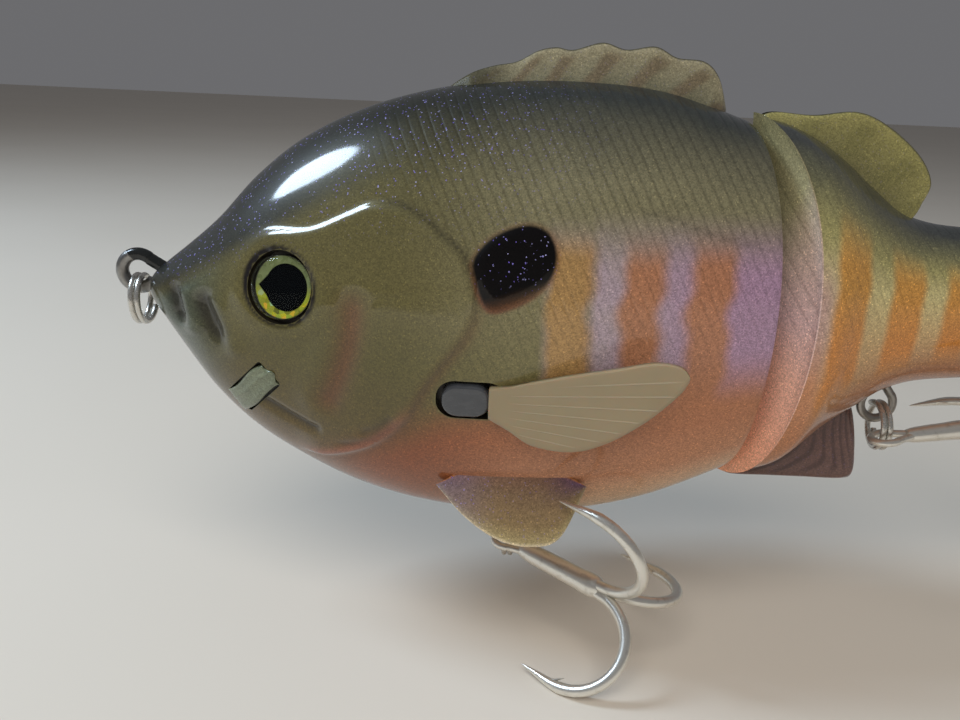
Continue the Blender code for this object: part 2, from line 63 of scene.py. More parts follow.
# Body sections from nose to tail: x, top, bottom, half width.
FRONT_STATIONS = (
    (1.6, -1.5, -2.3, 0.5), (2.3, 0.0, -3.8, 2.4), (4.2, 1.7, -6.2, 4.4), (7.5, 4.4, -10.6, 6.9),
    (11.5, 8.0, -15.6, 9.5), (16.5, 13.5, -20.2, 11.8), (22.5, 18.4, -23.9, 13.9),
    (30.0, 22.3, -27.3, 16.2), (38.5, 25.0, -29.6, 17.8), (48.0, 26.6, -30.7, 18.3),
    (58.0, 27.0, -30.5, 17.9), (68.0, 26.2, -28.3, 16.5), (78.6, 23.0, -23.3, 14.3),
)
REAR_STATIONS = (
    (79.6, 23.7, -24.0, 13.6), (83.5, 22.8, -22.9, 13.3), (88.0, 20.9, -20.2, 12.5),
    (92.0, 18.4, -17.4, 11.4), (96.0, 15.3, -14.6, 10.1), (100.0, 12.5, -11.8, 8.9),
    (104.5, 11.1, -10.2, 7.8), (111.0, 10.6, -9.5, 6.6), (119.0, 10.1, -9.0, 5.3),
    (126.0, 10.4, -9.4, 4.0), (131.0, 11.2, -10.4, 2.8),
)
BELLY_FULLNESS, BACK_FULLNESS = 0.80, 1.10
FRONT_VEE = math.tan(math.radians(12.5))
REAR_VEE = math.tan(math.radians(27.0))
VEE_BLEND = 16.0
RIM_ROUND, RIM_STEPS = 0.35, 4
WALL_RINGS = (0.96, 0.9, 0.8, 0.68, 0.55, 0.42, 0.3, 0.2, 0.1, 0.02)

# Moulded features on the head, as points (x, z) on the flank. A snout fold is depth, width and path.
SNOUT_FOLDS = (
    (0.85, 1.2, ((5.9, 0.6), (6.9, -2.6), (8.0, -6.0))),
    (1.05, 1.5, ((10.0, 0.2), (11.9, -3.2), (14.4, -8.0))),
)
MOUTH = ((17.6, -13.2), (19.8, -14.2), (22.4, -15.5), (25.2, -16.5), (27.0, -16.6))
CHEEK_FOLD = ((30.9, 3.2), (31.0, -1.0), (30.5, -4.8), (29.4, -8.4), (28.2, -11.4), (26.6, -14.4))
GILL_EDGE = (
    (17.6, 5.4), (19.9, 7.9), (25.6, 8.9), (30.2, 11.0), (33.0, 12.2), (36.0, 12.2), (39.0, 11.0),
    (41.3, 9.2), (43.9, 7.0), (45.6, 2.5), (44.8, -1.6), (42.0, -5.7), (39.6, -9.4), (37.6, -13.6),
    (34.2, -17.2), (30.6, -19.4), (27.0, -20.8), (22.6, -21.4),
)
CHIN_FOLDS = (((31.6, -16.2), (34.0, -15.0), (36.2, -12.8)), ((28.2, -18.6), (33.0, -16.9), (37.2, -13.4)))
EAR_FLAP = (
    (44.9, 6.6), (46.4, 8.8), (48.8, 10.3), (51.4, 10.9), (53.6, 10.0), (54.6, 7.6), (54.0, 4.9),
    (51.9, 2.8), (49.4, 1.5), (47.3, 1.0), (46.1, 2.2), (45.3, 4.4),
)
LATERAL_LINE = ((62.0, 13.2), (67.4, 12.1), (72.0, 10.6), (80.0, 8.6))
REAR_LATERAL_LINE = ((80.0, 8.4), (90.0, 7.0), (104.0, 4.6), (128.0, 2.0))

# Painted bars, from x to x; the front ones also have the z at which they end.
FRONT_BARS = ((53.4, 58.9, 13.0), (62.4, 67.2, 12.0), (70.4, 75.6, 12.5))
REAR_BARS = ((88.6, 93.4), (96.8, 101.4), (104.6, 108.4), (111.6, 115.0), (118.2, 121.4), (124.4, 127.2))
BELLY_BORDER = (
    (15.0, -23.0), (24.0, -21.0), (34.0, -17.0), (42.0, -12.6), (50.0, -10.5), (56.0, -8.5), (80.0, -6.0),
)

# Fins, eyes, lips and wire, as in the CAD model.
DORSAL_EDGE = (
    (40.5, 25.2), (43.6, 27.2), (46.4, 28.2), (49.2, 28.8), (51.8, 30.2), (54.0, 30.7),
    (56.2, 30.5), (59.8, 31.5), (62.8, 30.8), (66.4, 31.3), (69.2, 30.1), (72.6, 29.8),
    (74.6, 28.0), (76.0, 24.2),
)
LOBE_EDGE = (
    (79.9, 23.4), (82.0, 24.2), (87.2, 24.0), (92.6, 24.6), (96.9, 23.0), (101.4, 19.6),
    (103.5, 16.2), (102.6, 13.4), (101.4, 11.6),
)
ANAL_EDGE = (
    (80.0, -24.0), (81.6, -25.2), (83.4, -25.6), (88.0, -25.6), (93.0, -25.6), (98.4, -25.55),
    (99.9, -24.6), (99.7, -21.0), (98.9, -17.0), (97.6, -13.4),
)
EYE_CENTRE, EYE_RADIUS, EYE_SOCKET = (21.9, 1.6), 3.9, 4.5
IRIS_FACE, IRIS_BACK = -0.80, -1.9
DOME_BACK, DOME_EDGE, DOME_RISE = -0.5, 0.05, 1.4
LIP_CENTRE, LIP_VISIBLE, LIP_SLOPE = (17.6, -12.3), (7.9, 3.5), math.radians(42.0)
PECTORAL_ROOT, ROOT_SIZE = (44.8, -10.2), (5.8, 4.2)
PECTORAL_TOP = (
    (47.6, -8.3), (50.0, -7.8), (52.5, -7.0), (57.0, -5.7), (62.0, -4.4), (66.2, -3.3), (68.9, -3.5),
    (70.0, -4.5),
)
PECTORAL_LOW = (
    (47.6, -12.2), (50.0, -13.4), (53.0, -15.0), (57.6, -15.2), (61.6, -13.6), (65.8, -10.4), (69.0, -6.9),
    (70.0, -5.2),
)
PECTORAL_ROOT_Y, PECTORAL_FLARE = 18.4, 0.18
PELVIC_TOP = ((41.4, -22.9), (46.0, -20.7), (51.0, -20.4), (56.5, -20.6), (60.6, -22.4))
PELVIC_LOW = ((41.4, -22.9), (45.2, -26.4), (49.4, -28.8), (53.6, -29.5), (57.4, -28.3), (60.6, -22.4))
PELVIC_TOP_Z, PELVIC_TOP_Y, PELVIC_FLARE = -21.5, 13.4, math.tan(math.radians(25.0))
TIE_RADIUS, TIE_WIRE, TIE_SHANK = 2.25, 0.85, 10.0
RING_RADIUS, RING_WIRE, RING_PITCH, RING_TURNS = 3.1, 0.4, 0.86, 1.75
NOSE_RING_CENTRE = Vector((0.25, 0.0, -3.8))
HANGER_WIRE, HANGER_RADIUS = 0.6, 2.2
HANGERS = {
    "belly": (Vector((51.3, 0.0, -33.2)), 7.6, "front"), "rear": (Vector((101.6, 0.0, -14.05)), 5.7, "rear"),
}
RING_OFFSET = 1.6
HINGE_EYE_HEIGHTS = (12.0, -12.0)
HINGE_SLOT_X, HINGE_SLOT_Y, HINGE_SLOT_Z = (78.0, 85.0), 2.7, 1.0
RING_DROP = {"belly": 0.0, "rear": math.radians(15.0)}
HOOKS = {
    "belly": {"shank_radius": 1.45, "shank": 15.7, "bend": 6.4, "wire": 0.75, "eye": 1.85, "eye_wire": 0.5,
              "point": 4.9, "axis": Vector((0.756, -0.652, -0.057)),
              "first_arm": Vector((-0.185, -0.296, 0.937))},
    "rear": {"shank_radius": 1.2, "shank": 11.8, "bend": 5.0, "wire": 0.62, "eye": 1.85, "eye_wire": 0.5,
             "point": 4.2, "axis": Vector((0.985, 0.0, 0.17)), "first_arm": Vector((0.0, 1.0, 0.0))},
}


# ---------------------------------------------------------------- shapes

def smooth_rows(rows, count, closed=False):
    """Rows read at even steps along a Catmull-Rom curve through the given rows."""
    rows = np.array(rows, float)
    if closed:
        padded = np.vstack([rows[-1], rows, rows[0], rows[1]])
        last = len(rows)
    else:
        padded = np.vstack([2 * rows[0] - rows[1], rows, 2 * rows[-1] - rows[-2]])
        last = len(rows) - 1
    steps = np.linspace(0.0, last, count, endpoint=not closed)
    index = np.minimum(steps.astype(int), last - 1)
    f = (steps - index)[:, None]
    a, b, c, d = (padded[index + k] for k in range(4))
    return 0.5 * (2 * b + (c - a) * f + (2 * a - 5 * b + 4 * c - d) * f**2 + (3 * b - a - 3 * c + d) * f**3)


def smoothstep(value, low, high):
    t = np.clip((value - low) / (high - low), 0.0, 1.0)
    return t * t * (3.0 - 2.0 * t)


def fullness(lift):
    """Exponent of a section's side, from rounder at the belly to leaner at the back."""
    return BELLY_FULLNESS + (BACK_FULLNESS - BELLY_FULLNESS) * (lift + 1.0) / 2.0


def flank_y(rows, x, z):
    """Distance of the flank from the middle plane at a given x and z."""
    top, bottom, half = (np.interp(x, rows[:, 0], rows[:, column]) for column in (1, 2, 3))
    lift = np.clip((z - (top + bottom) / 2) / ((top - bottom) / 2), -1.0, 1.0)
    return half * (1.0 - lift * lift) ** (fullness(lift) / 2)


def flank_frame(rows, place, side):
    """Matrix whose origin is on the flank, with Z out of the body and X tailward along it."""
    x, z = place
    here = Vector((x, side * flank_y(rows, x, z), z))
    along = Vector((x + 1.0, side * flank_y(rows, x + 1.0, z), z)) - here
    upward = Vector((x, side * flank_y(rows, x, z + 1.0), z + 1.0)) - here
    normal = along.cross(upward).normalized()
    if normal.y * side < 0:
        normal = -normal
    along.normalize()
    across = normal.cross(along)
    return Matrix.Translation(here) @ Matrix((along, across, normal)).transposed().to_4x4()


def curve_distance(x, z, path, closed=False):
    """Distance to a smooth curve in XZ, the side it lies on (+1 left of it), and the place along it."""
    points = smooth_rows(path, 7 * len(path), closed)
    if closed:
        points = np.vstack([points, points[:1]])
    best = np.full(x.shape, 1e9)
    side = np.ones(x.shape)
    along = np.zeros(x.shape)
    for index, (a, b) in enumerate(zip(points, points[1:])):
        d = b - a
        t = np.clip(((x - a[0]) * d[0] + (z - a[1]) * d[1]) / (d @ d), 0.0, 1.0)
        dx, dz = x - a[0] - t * d[0], z - a[1] - t * d[1]
        distance = np.hypot(dx, dz)
        nearer = distance < best
        best = np.where(nearer, distance, best)
        side = np.where(nearer, np.sign(d[0] * dz - d[1] * dx), side)
        along = np.where(nearer, (index + t) / (len(points) - 1), along)
    return best, side, along


def moved(path, dx, dz):
    return [(x + dx, z + dz) for x, z in path]


def line_mask(x, z, path, width, taper=0.18):
    """1 on a smooth curve, falling off across it and, over the taper, toward its ends."""
    distance, _, along = curve_distance(x, z, path)
    fade = smoothstep(along, 0.0, taper) * smoothstep(1.0 - along, 0.0, taper)
    return np.exp(-(distance / width) ** 2) * fade


def mesh_object(name, verts, faces, look, fields=None, sharp=None):
    """A smooth-shaded object from millimetre vertices, with named values on its points."""
    mesh = bpy.data.meshes.new(name)
    mesh.from_pydata((np.asarray(verts, float) * MM).tolist(), [], [list(face) for face in faces])
    for key, values in (fields or {}).items():
        mesh.attributes.new(key, "FLOAT", "POINT").data.foreach_set("value", np.asarray(values, np.float32))
    bm = bmesh.new()
    bm.from_mesh(mesh)
    bmesh.ops.remove_doubles(bm, verts=bm.verts, dist=1e-7)
    bmesh.ops.recalc_face_normals(bm, faces=bm.faces)
    bm.to_mesh(mesh)
    bm.free()
    mesh.materials.append(look)
    mesh.shade_smooth()
    if sharp:
        mesh.set_sharp_from_angle(angle=math.radians(sharp))
    made = bpy.data.objects.new(name, mesh)
    bpy.context.scene.collection.objects.link(made)
    return made


def place(made, body, slot, *nodes):
    """Lets a piece ride on its body and stand for its CAD nodes."""
    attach(made, body)
    if nodes:
        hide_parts(*nodes)
    return made


def cut(target, tools):
    """Cuts closed tool objects out of a piece and removes them."""
    for tool in tools:
        modifier = target.modifiers.new("cut", "BOOLEAN")
        modifier.operation = "DIFFERENCE"
        modifier.solver = "EXACT"
        modifier.material_mode = "TRANSFER"
        modifier.object = tool
    bpy.context.view_layer.update()
    graph = bpy.context.evaluated_depsgraph_get()
    result = bpy.data.meshes.new_from_object(target.evaluated_get(graph))
    target.modifiers.clear()
    target.data = result
    for tool in tools:
        bpy.data.objects.remove(tool, do_unlink=True)
    result.shade_smooth()
    result.set_sharp_from_angle(angle=math.radians(38.0))


def grid_faces(rows, columns, start=0, wrap=False):
    """Quads over a grid of points stored row by row."""
    faces = []
    for i in range(rows - 1):
        for j in range(columns if wrap else columns - 1):
            a, b = start + i * columns + j, start + i * columns + (j + 1) % columns
            faces.append((a, b, b + columns, a + columns))
    return faces


def leaf_faces(rows, columns, closed_rows, closed_columns):
    """Faces of two grids, stored one after the other and joined along some of their rows and columns."""
    size = rows * columns
    faces = grid_faces(rows, columns) + grid_faces(rows, columns, size)
    rims = [(i * columns + j, columns) for j in closed_columns for i in range(rows - 1)]
    rims += [(i * columns + j, 1) for i in closed_rows for j in range(columns - 1)]
    faces += [(a, a + next_one, size + a + next_one, size + a) for a, next_one in rims]
    return faces


def hinge_wall(edge, out, vee, wall_end):
    """Rings that round the rim, then close the wall at the hinge along its vee."""
    hinge_x, slope = vee
    rings = []
    for step in range(1, RIM_STEPS + 1):
        angle = math.pi / 2 * step / RIM_STEPS
        inward = RIM_ROUND * (1.0 - math.cos(angle))
        rings.append(edge - out * inward + np.array([wall_end * RIM_ROUND * math.sin(angle), 0, 0]))
    rim = rings[-1]
    middle = (rim[:, 2].max() + rim[:, 2].min()) / 2
    for shrink in WALL_RINGS:
        ring = rim * shrink
        ring[:, 2] += middle * (1.0 - shrink)
        ring[:, 0] = hinge_x + slope * np.abs(ring[:, 1])
        rings.append(ring)
    return rings


def skin(name, stations, vee, wall_end, counts, relief, look):
    """One closed body section with its moulded relief.

    wall_end is 1 if the hinge wall is the section's tail end, and -1 if it is its nose end. counts is
    the number of rows between two stations, and of points from the belly to the back.
    """
    per_span, columns = counts
    rows = smooth_rows(stations, per_span * (len(stations) - 1) + 1)
    if wall_end < 0:
        rows = rows[::-1]
    hinge_x, slope = vee
    rows[-1, 0] -= RIM_ROUND * wall_end
    t = np.linspace(0.0, 1.0, columns + 1)
    lift = np.sin(np.pi * (t - 0.5))
    reach = np.maximum(0.0, 1.0 - lift * lift) ** (fullness(lift) / 2)
    lift = np.concatenate([lift, lift[-2:0:-1]])[None, :]
    reach = np.concatenate([-reach, reach[-2:0:-1]])[None, :]
    x, top, bottom, half = (rows[:, column:column + 1] for column in range(4))
    y = half * reach
    z = (top + bottom) / 2 + (top - bottom) / 2 * lift
    near = np.maximum(0.0, 1.0 - np.abs(x - hinge_x) / VEE_BLEND)
    x = x + slope * np.abs(y) * near * near * (3.0 - 2.0 * near)
    points = np.stack([x, y, z], axis=2)
    down_rows = np.gradient(points, axis=0)
    round_ring = np.roll(points, -1, axis=1) - np.roll(points, 1, axis=1)
    normals = np.cross(down_rows, round_ring)
    normals /= np.linalg.norm(normals, axis=2, keepdims=True) + 1e-9
    if normals[len(rows) // 2, columns // 2, 1] > 0:
        normals = -normals
    height, fields = relief(x, z, lift * np.ones_like(x))
    points = points + normals * height[:, :, None]

    rings = list(points) + hinge_wall(points[-1], normals[-1], vee, wall_end)
    fields = {key: list(values) + [values[-1]] * (len(rings) - len(values)) for key, values in fields.items()}
    width = points.shape[1]
    fields["wall"] = np.zeros((len(rings), width))
    fields["wall"][len(points):] = 1.0
    verts = np.concatenate(rings)
    faces = grid_faces(len(rings), width, 0, True)
    tips = [points[0].mean(axis=0), rings[-1].mean(axis=0)]
    for index, first in enumerate((0, (len(rings) - 1) * width)):
        for j in range(width):
            faces.append((first + j, first + (j + 1) % width, len(verts) + index))
    flat = {key: np.ravel(values) for key, values in fields.items()}
    flat = {key: np.concatenate([values, values[[0, -1]]]) for key, values in flat.items()}
    return mesh_object(name, np.vstack([verts, tips]), faces, look, flat)


def turned(name, profile, place_frame, look, sides=72, fields=None, sharp=None):
    """A round piece about a frame's Z axis, from (radius, height) rows that start and end on the axis."""
    verts, faces = [], []
    for radius, height in profile:
        for step in range(sides):
            angle = 2 * math.pi * step / sides
            verts.append(place_frame @ Vector((radius * math.cos(angle), radius * math.sin(angle), height)))
    faces = grid_faces(len(profile), sides, 0, True)
    return mesh_object(name, verts, faces, look, fields, sharp)


def tube(path, radii, sides=20, squash=1.0):
    """Vertices and faces of a round wire along a path; squash flattens it across its first side."""
    path = [Vector(point) for point in path]
    tangents = [(b - a).normalized() for a, b in zip(path, path[1:])]
    tangents = [tangents[0]] + [(a + b).normalized() for a, b in zip(tangents, tangents[1:])] + [tangents[-1]]
    side = tangents[0].orthogonal().normalized()
    verts = []
    for point, tangent, radius in zip(path, tangents, map(float, radii)):
        side = (side - tangent * side.dot(tangent)).normalized()
        other = tangent.cross(side)
        for step in range(sides):
            angle = 2 * math.pi * step / sides
            verts.append(point + radius * (squash * math.cos(angle) * side + math.sin(angle) * other))
    faces = grid_faces(len(path), sides, 0, True)
    faces += [tuple(range(sides)), tuple(range(len(verts) - sides, len(verts)))]
    return verts, faces


def joined(parts):
    """Several closed solids as one list of vertices and faces."""
    verts, faces = [], []
    for more_verts, more_faces in parts:
        start = len(verts)
        verts += more_verts
        faces += [tuple(start + corner for corner in face) for face in more_faces]
    return verts, faces


def blade(name, root, edge, placing, thickness, look, counts=(120, 28), open_ends=False, flare=None):
    """A leaf between a root curve and a free edge curve, thin and rounded at its free edges.

    flare is (extra half thickness, fade length): how the blade widens into what it grows from.
    """
    across, along = counts
    root_points, edge_points = smooth_rows(root, across), smooth_rows(edge, across)
    v = np.sin(np.linspace(0.0, np.pi / 2, along)) if flare is None else np.linspace(0, 1, along) ** 0.8
    u = np.linspace(0.0, 1.0, across)
    points = root_points[:, None, :] + (edge_points - root_points)[:, None, :] * v[None, :, None]
    reach = np.linalg.norm(edge_points - root_points, axis=1)[:, None]
    half = np.ones((across, along)) * thickness / 2
    to_edge = (1.0 - v)[None, :] * reach
    rounding = thickness * 1.1
    half *= np.sqrt(np.clip(1.0 - np.clip(1.0 - to_edge / rounding, 0.0, 1.0) ** 2, 0.0, 1.0))
    half *= 1.0 - 0.35 * v[None, :]
    if not open_ends:
        half *= np.sqrt(np.clip(np.minimum(u, 1.0 - u) / 0.03, 0.0, 1.0))[:, None]
    if flare:
        extra, length = flare
        inward = np.clip(np.minimum(u, 1.0 - u) / 0.08, 0.0, 1.0)[:, None]
        half += extra * inward * np.exp(-(v[None, :] * reach / length) ** 1.5) * (reach > 0.3)
    verts, fields = [], {"ray": [], "reach": []}
    for sign in (1, -1):
        for i in range(across):
            for j in range(along):
                verts.append(placing(points[i, j, 0], points[i, j, 1], sign * half[i, j]))
        fields["ray"] += list(np.repeat(u, along))
        fields["reach"] += list(np.tile(v, across))
    faces = leaf_faces(across, along, (0, across - 1) if open_ends else (), (0,))
    return mesh_object(name, verts, faces, look, fields)


def rounded_slab(length, height, low, high, corner, place_frame, turn=0.0, steps=10, soft=0.3, dome=0.0):
    """Vertices and faces of a block with rounded ends and edges, between two depths of a flank frame."""
    radius = height * corner
    turned_by = Matrix.Rotation(turn, 4, "Z")

    def ring(inset, depth):
        made = []
        for cx, cz, start in ((1, 1, 0.0), (-1, 1, 0.5), (-1, -1, 1.0), (1, -1, 1.5)):
            for step in range(steps):
                angle = math.pi * (start + 0.5 * step / (steps - 1))
                r = max(radius - inset, 0.01)
                made.append(place_frame @ turned_by @ Vector((
                    cx * (length / 2 - radius) + r * math.cos(angle),
                    cz * (height / 2 - radius) + r * math.sin(angle), depth)))
        return made

    rings = [ring(0.0, low)]
    for step in range(7):
        angle = math.pi / 2 * step / 6
        rings.append(ring(soft * (1.0 - math.cos(angle)), high - soft + soft * math.sin(angle)))
    count = len(rings[0])
    verts = [point for row in rings for point in row]
    faces = grid_faces(len(rings), count, 0, True) + [tuple(range(count))]
    centre = place_frame @ turned_by @ Vector((0.0, 0.0, high + dome))
    verts.append(centre)
    last = (len(rings) - 1) * count
    faces += [(last + j, last + (j + 1) % count, len(verts) - 1) for j in range(count)]
    return verts, faces


# ---------------------------------------------------------------- materials

def srgb(red, green, blue):
    """Linear colour from the usual 0 to 255 values."""
    values = []
    for channel in (red, green, blue):
        c = channel / 255.0
        values.append(c / 12.92 if c <= 0.04045 else ((c + 0.055) / 1.055) ** 2.4)
    return (*values, 1.0)


class Look:
    """One material's node tree, with short ways to add nodes. Positions are in millimetres."""

    def __init__(self, name):
        self.material = bpy.data.materials.new(name)
        self.material.use_nodes = True
        self.tree = self.material.node_tree
        self.shader = self.tree.nodes["Principled BSDF"]
        coordinates = self.add("ShaderNodeTexCoord")
        scaled = self.add("ShaderNodeVectorMath", operation="SCALE")
        self.tree.links.new(coordinates.outputs["Object"], scaled.inputs[0])
        scaled.inputs["Scale"].default_value = 1.0 / MM
        self.place = scaled.outputs[0]
        split = self.add("ShaderNodeSeparateXYZ")
        self.feed(split.inputs[0], self.place)
        self.x, self.y, self.z = split.outputs

    def add(self, kind, **settings):
        node = self.tree.nodes.new(kind)
        for key, value in settings.items():
            setattr(node, key, value)
        return node

    def feed(self, socket, value):
        if isinstance(value, bpy.types.NodeSocket):
            self.tree.links.new(value, socket)
        else:
            socket.default_value = value

    def math(self, operation, a, b=0.0, c=0.0):
        node = self.add("ShaderNodeMath", operation=operation)
        for socket, value in zip(node.inputs, (a, b, c)):
            self.feed(socket, value)
        return node.outputs[0]

    def times(self, a, b):
        return self.math("MULTIPLY", a, b)

    def plus(self, a, b):
        return self.math("ADD", a, b)

    def minus(self, a, b):
        return self.math("SUBTRACT", a, b)

    def linear(self, value, factor, offset):
        return self.math("MULTIPLY_ADD", value, factor, offset)

    def step(self, value, low, high):
        node = self.add("ShaderNodeMapRange", interpolation_type="SMOOTHSTEP")
        for socket, entry in zip(node.inputs, (value, low, high, 0.0, 1.0)):
            self.feed(socket, entry)
        return node.outputs[0]

    def mix(self, factor, a, b, kind="MIX"):
        """A blend of two colours, each a socket, a linear colour or three values from 0 to 255."""
        node = self.add("ShaderNodeMix", data_type="RGBA", blend_type=kind)
        self.feed(node.inputs["Factor"], factor)
        for index, colour in ((6, a), (7, b)):
            plain = isinstance(colour, tuple) and len(colour) == 3
            self.feed(node.inputs[index], srgb(*colour) if plain else colour)
        return node.outputs[2]

    def shaded(self, colour, shade):
        """A colour times a grey level or times another colour."""
        if isinstance(shade, bpy.types.NodeSocket) and shade.type == "VALUE":
            node = self.add("ShaderNodeCombineColor")
            for socket in node.inputs:
                self.feed(socket, shade)
            shade = node.outputs[0]
        return self.mix(1.0, colour, shade, "MULTIPLY")

    def ramp(self, factor, *stops):
        """A colour that goes through stops, each one a position and the usual 0 to 255 values."""
        node = self.add("ShaderNodeValToRGB")
        elements = node.color_ramp.elements
        while len(elements) < len(stops):
            elements.new(0.5)
        for element, (position, *colour) in zip(elements, stops):
            element.position = position
            element.color = srgb(*colour)
        self.feed(node.inputs[0], factor)
        return node.outputs[0]

    def field(self, name):
        return self.add("ShaderNodeAttribute", attribute_name=name).outputs["Fac"]

    def noise(self, scale, detail=2.0, stretch=(1.0, 1.0, 1.0)):
        stretched = self.add("ShaderNodeVectorMath", operation="MULTIPLY")
        self.feed(stretched.inputs[0], self.place)
        stretched.inputs[1].default_value = stretch
        node = self.add("ShaderNodeTexNoise")
        self.feed(node.inputs["Vector"], stretched.outputs[0])
        node.inputs["Scale"].default_value = scale
        node.inputs["Detail"].default_value = detail
        return node.outputs["Fac"]

    def flakes(self, scale):
        """Three random values for each tiny flake."""
        node = self.add("ShaderNodeTexVoronoi")
        self.feed(node.inputs["Vector"], self.place)
        node.inputs["Scale"].default_value = scale
        split = self.add("ShaderNodeSeparateColor")
        self.feed(split.inputs[0], node.outputs["Color"])
        return split.outputs

    def wave(self, a, b, pitch):
        """A sine across lines that run square to the direction (a, b) in XZ."""
        across = self.plus(self.times(self.x, a), self.times(self.z, b))
        return self.math("SINE", self.times(across, 2 * math.pi / pitch))

    def groove(self, a, b, pitch):
        """Narrow lines in the same layout as wave: 1 in the line and 0 between the lines."""
        return self.math("POWER", self.linear(self.wave(a, b, pitch), -0.5, 0.5), 5.0)

    def bump(self, height, depth, into="Normal", before=None):
        node = self.add("ShaderNodeBump")
        node.inputs["Strength"].default_value = 1.0
        node.inputs["Distance"].default_value = depth * MM
        self.feed(node.inputs["Height"], height)
        if before is not None:
            self.feed(node.inputs["Normal"], before)
        if into:
            self.feed(self.shader.inputs[into], node.outputs[0])
        return node.outputs[0]

    def set(self, **values):
        for key, value in values.items():
            self.feed(self.shader.inputs[key.replace("_", " ").title().replace("Ior", "IOR")], value)
        return self.material


def metallic_paint(look, base, violet, scale_mask, sparkle=1.0, matt=0.0):
    """Flake paint under clear gloss: grain, sparkles, embossed scales and a smooth coat.

    violet is where the violet glitter lies, scale_mask where the scales do, and matt dulls the gloss.
    """
    grain = look.flakes(6.5)
    shade = look.linear(grain[0], 0.50, 0.75)
    mottled = look.shaded(base, shade)
    # The sparkles are flakes with a lightened colour: painted glints.
    bright = look.times(look.step(grain[1], 0.93, 0.98), 0.35 * sparkle)
    lit = look.shaded(mottled, (2.2, 2.1, 1.9, 1.0))
    mottled = look.mix(bright, mottled, lit)
    glitter = look.flakes(7.5)
    spark = look.times(look.step(glitter[2], 0.980, 0.988), violet)
    hue = look.mix(glitter[0], (110, 84, 215), (190, 190, 240))
    mottled = look.mix(look.times(spark, 0.7), mottled, hue)
    rows = look.groove(0.90, 0.44, 1.25)
    cross = look.groove(0.70, -0.72, 1.4)
    emboss = look.linear(cross, -0.2, look.times(rows, -1.0))
    emboss = look.times(emboss, scale_mask)
    # The colour is darker in the embossed scale grooves: painted shade.
    darker = look.linear(emboss, 0.22, 1.03)
    mottled = look.shaded(mottled, darker)
    first = look.bump(emboss, 0.050, into=None)
    look.bump(look.noise(3.0, 3.0), 0.010, before=first)
    coat_wear = look.noise(0.35, 4.0)
    look.feed(look.shader.inputs["Coat Normal"], look.bump(emboss, 0.030, into=None))
    return look.set(
        base_color=mottled, metallic=0.12, roughness=look.linear(coat_wear, 0.16, 0.34),
        specular_ior_level=look.linear(matt, -0.1, 0.18),
        coat_weight=look.linear(matt, -0.5, 0.9), coat_roughness=look.linear(coat_wear, 0.07, 0.06),
    )


def front_paint():
    """Head and shoulder: dark back, olive head, orange bars over lavender, salmon belly."""
    look = Look("front_paint")
    lift = look.linear(look.field("lift"), 0.5, 0.5)
    wobble = look.minus(look.noise(0.16, 3.0), 0.5)
    level = look.linear(wobble, 0.05, lift)
    olive = look.ramp(
        level, (0.0, 128, 96, 72), (0.18, 112, 96, 62), (0.42, 106, 100, 64), (0.62, 118, 112, 82),
        (0.80, 112, 107, 82), (0.90, 78, 76, 62), (0.97, 40, 44, 42), (1.0, 34, 38, 38),
    )
    deeper = look.shaded(olive, (0.54, 0.52, 0.36, 1.0))
    olive = look.mix(look.step(look.x, 56.0, 34.0), olive, deeper)
    head_line = look.linear(look.x, -0.60, look.minus(look.z, -0.4))
    crown = look.times(look.step(head_line, -5.2, -2.2), look.step(look.x, 38.0, 18.0))
    snout = look.times(look.step(look.x, 17.0, 7.0), look.step(head_line, -3.0, -5.5))
    olive = look.mix(look.times(snout, 0.8), olive, (66, 76, 68))
    olive = look.mix(look.times(crown, 0.88), olive, (34, 36, 34))
    lavender = look.mix(look.noise(0.3, 2.0), (162, 143, 158), (154, 140, 138))
    lavender = look.mix(look.step(look.x, 60.0, 76.0), lavender, (153, 123, 146))
    bars = look.mix(look.step(look.x, 57.0, 63.0), (154, 120, 66), (160, 108, 72))
    flank = look.mix(look.times(look.field("bar"), 0.92), lavender, bars)
    colour = look.mix(look.field("flank"), olive, flank)
    belly = look.ramp(
        lift, (0.0, 218, 196, 164), (0.07, 202, 164, 130), (0.15, 176, 124, 92), (0.26, 160, 104, 70),
        (0.45, 150, 96, 60), (1.0, 150, 96, 60),
    )
    red = look.mix(look.step(look.x, 58.0, 38.0), belly, (122, 68, 38))
    red = look.mix(look.step(look.x, 34.0, 26.0), red, (112, 74, 52))
    colour = look.mix(look.field("belly"), colour, red)
    colour = look.mix(look.times(look.field("blush"), 0.65), colour, (98, 56, 38))
    colour = look.mix(look.times(look.field("pale"), 0.45), colour, (160, 96, 80))
    # Partly dark paint, partly painted shade: the moulded grooves and edges are darkened.
    colour = look.mix(look.times(look.field("line"), 0.8), colour, (34, 30, 26))
    ear = look.field("ear")
    low_edge = look.linear(look.step(look.z, 7.0, 1.0), 0.5, 0.35)
    rust = look.mix(look.times(look.step(ear, 0.02, 0.45), low_edge), colour, (96, 50, 24))
    under = look.step(look.linear(look.x, -0.35, look.z), -13.6, -16.4)
    upper_ink = look.step(ear, 0.28, 0.74)
    lower_ink = look.times(look.step(ear, 0.78, 0.995), 0.35)
    ink = look.linear(under, look.minus(lower_ink, upper_ink), upper_ink)
    colour = look.mix(ink, rust, (8, 6, 6))
    # Painted shade: a dark ring round the eye socket, where the recess lies in shade.
    colour = look.mix(look.field("socket"), colour, (20, 16, 16))
    violet = look.times(look.step(lift, 0.66, 0.90), look.step(look.x, 66.0, 40.0))
    violet = look.math("MAXIMUM", violet, look.times(ear, look.step(look.z, 2.5, 6.5)))
    return metallic_paint(look, colour, violet, look.field("scales"), 1.0, look.step(ear, 0.3, 0.8))


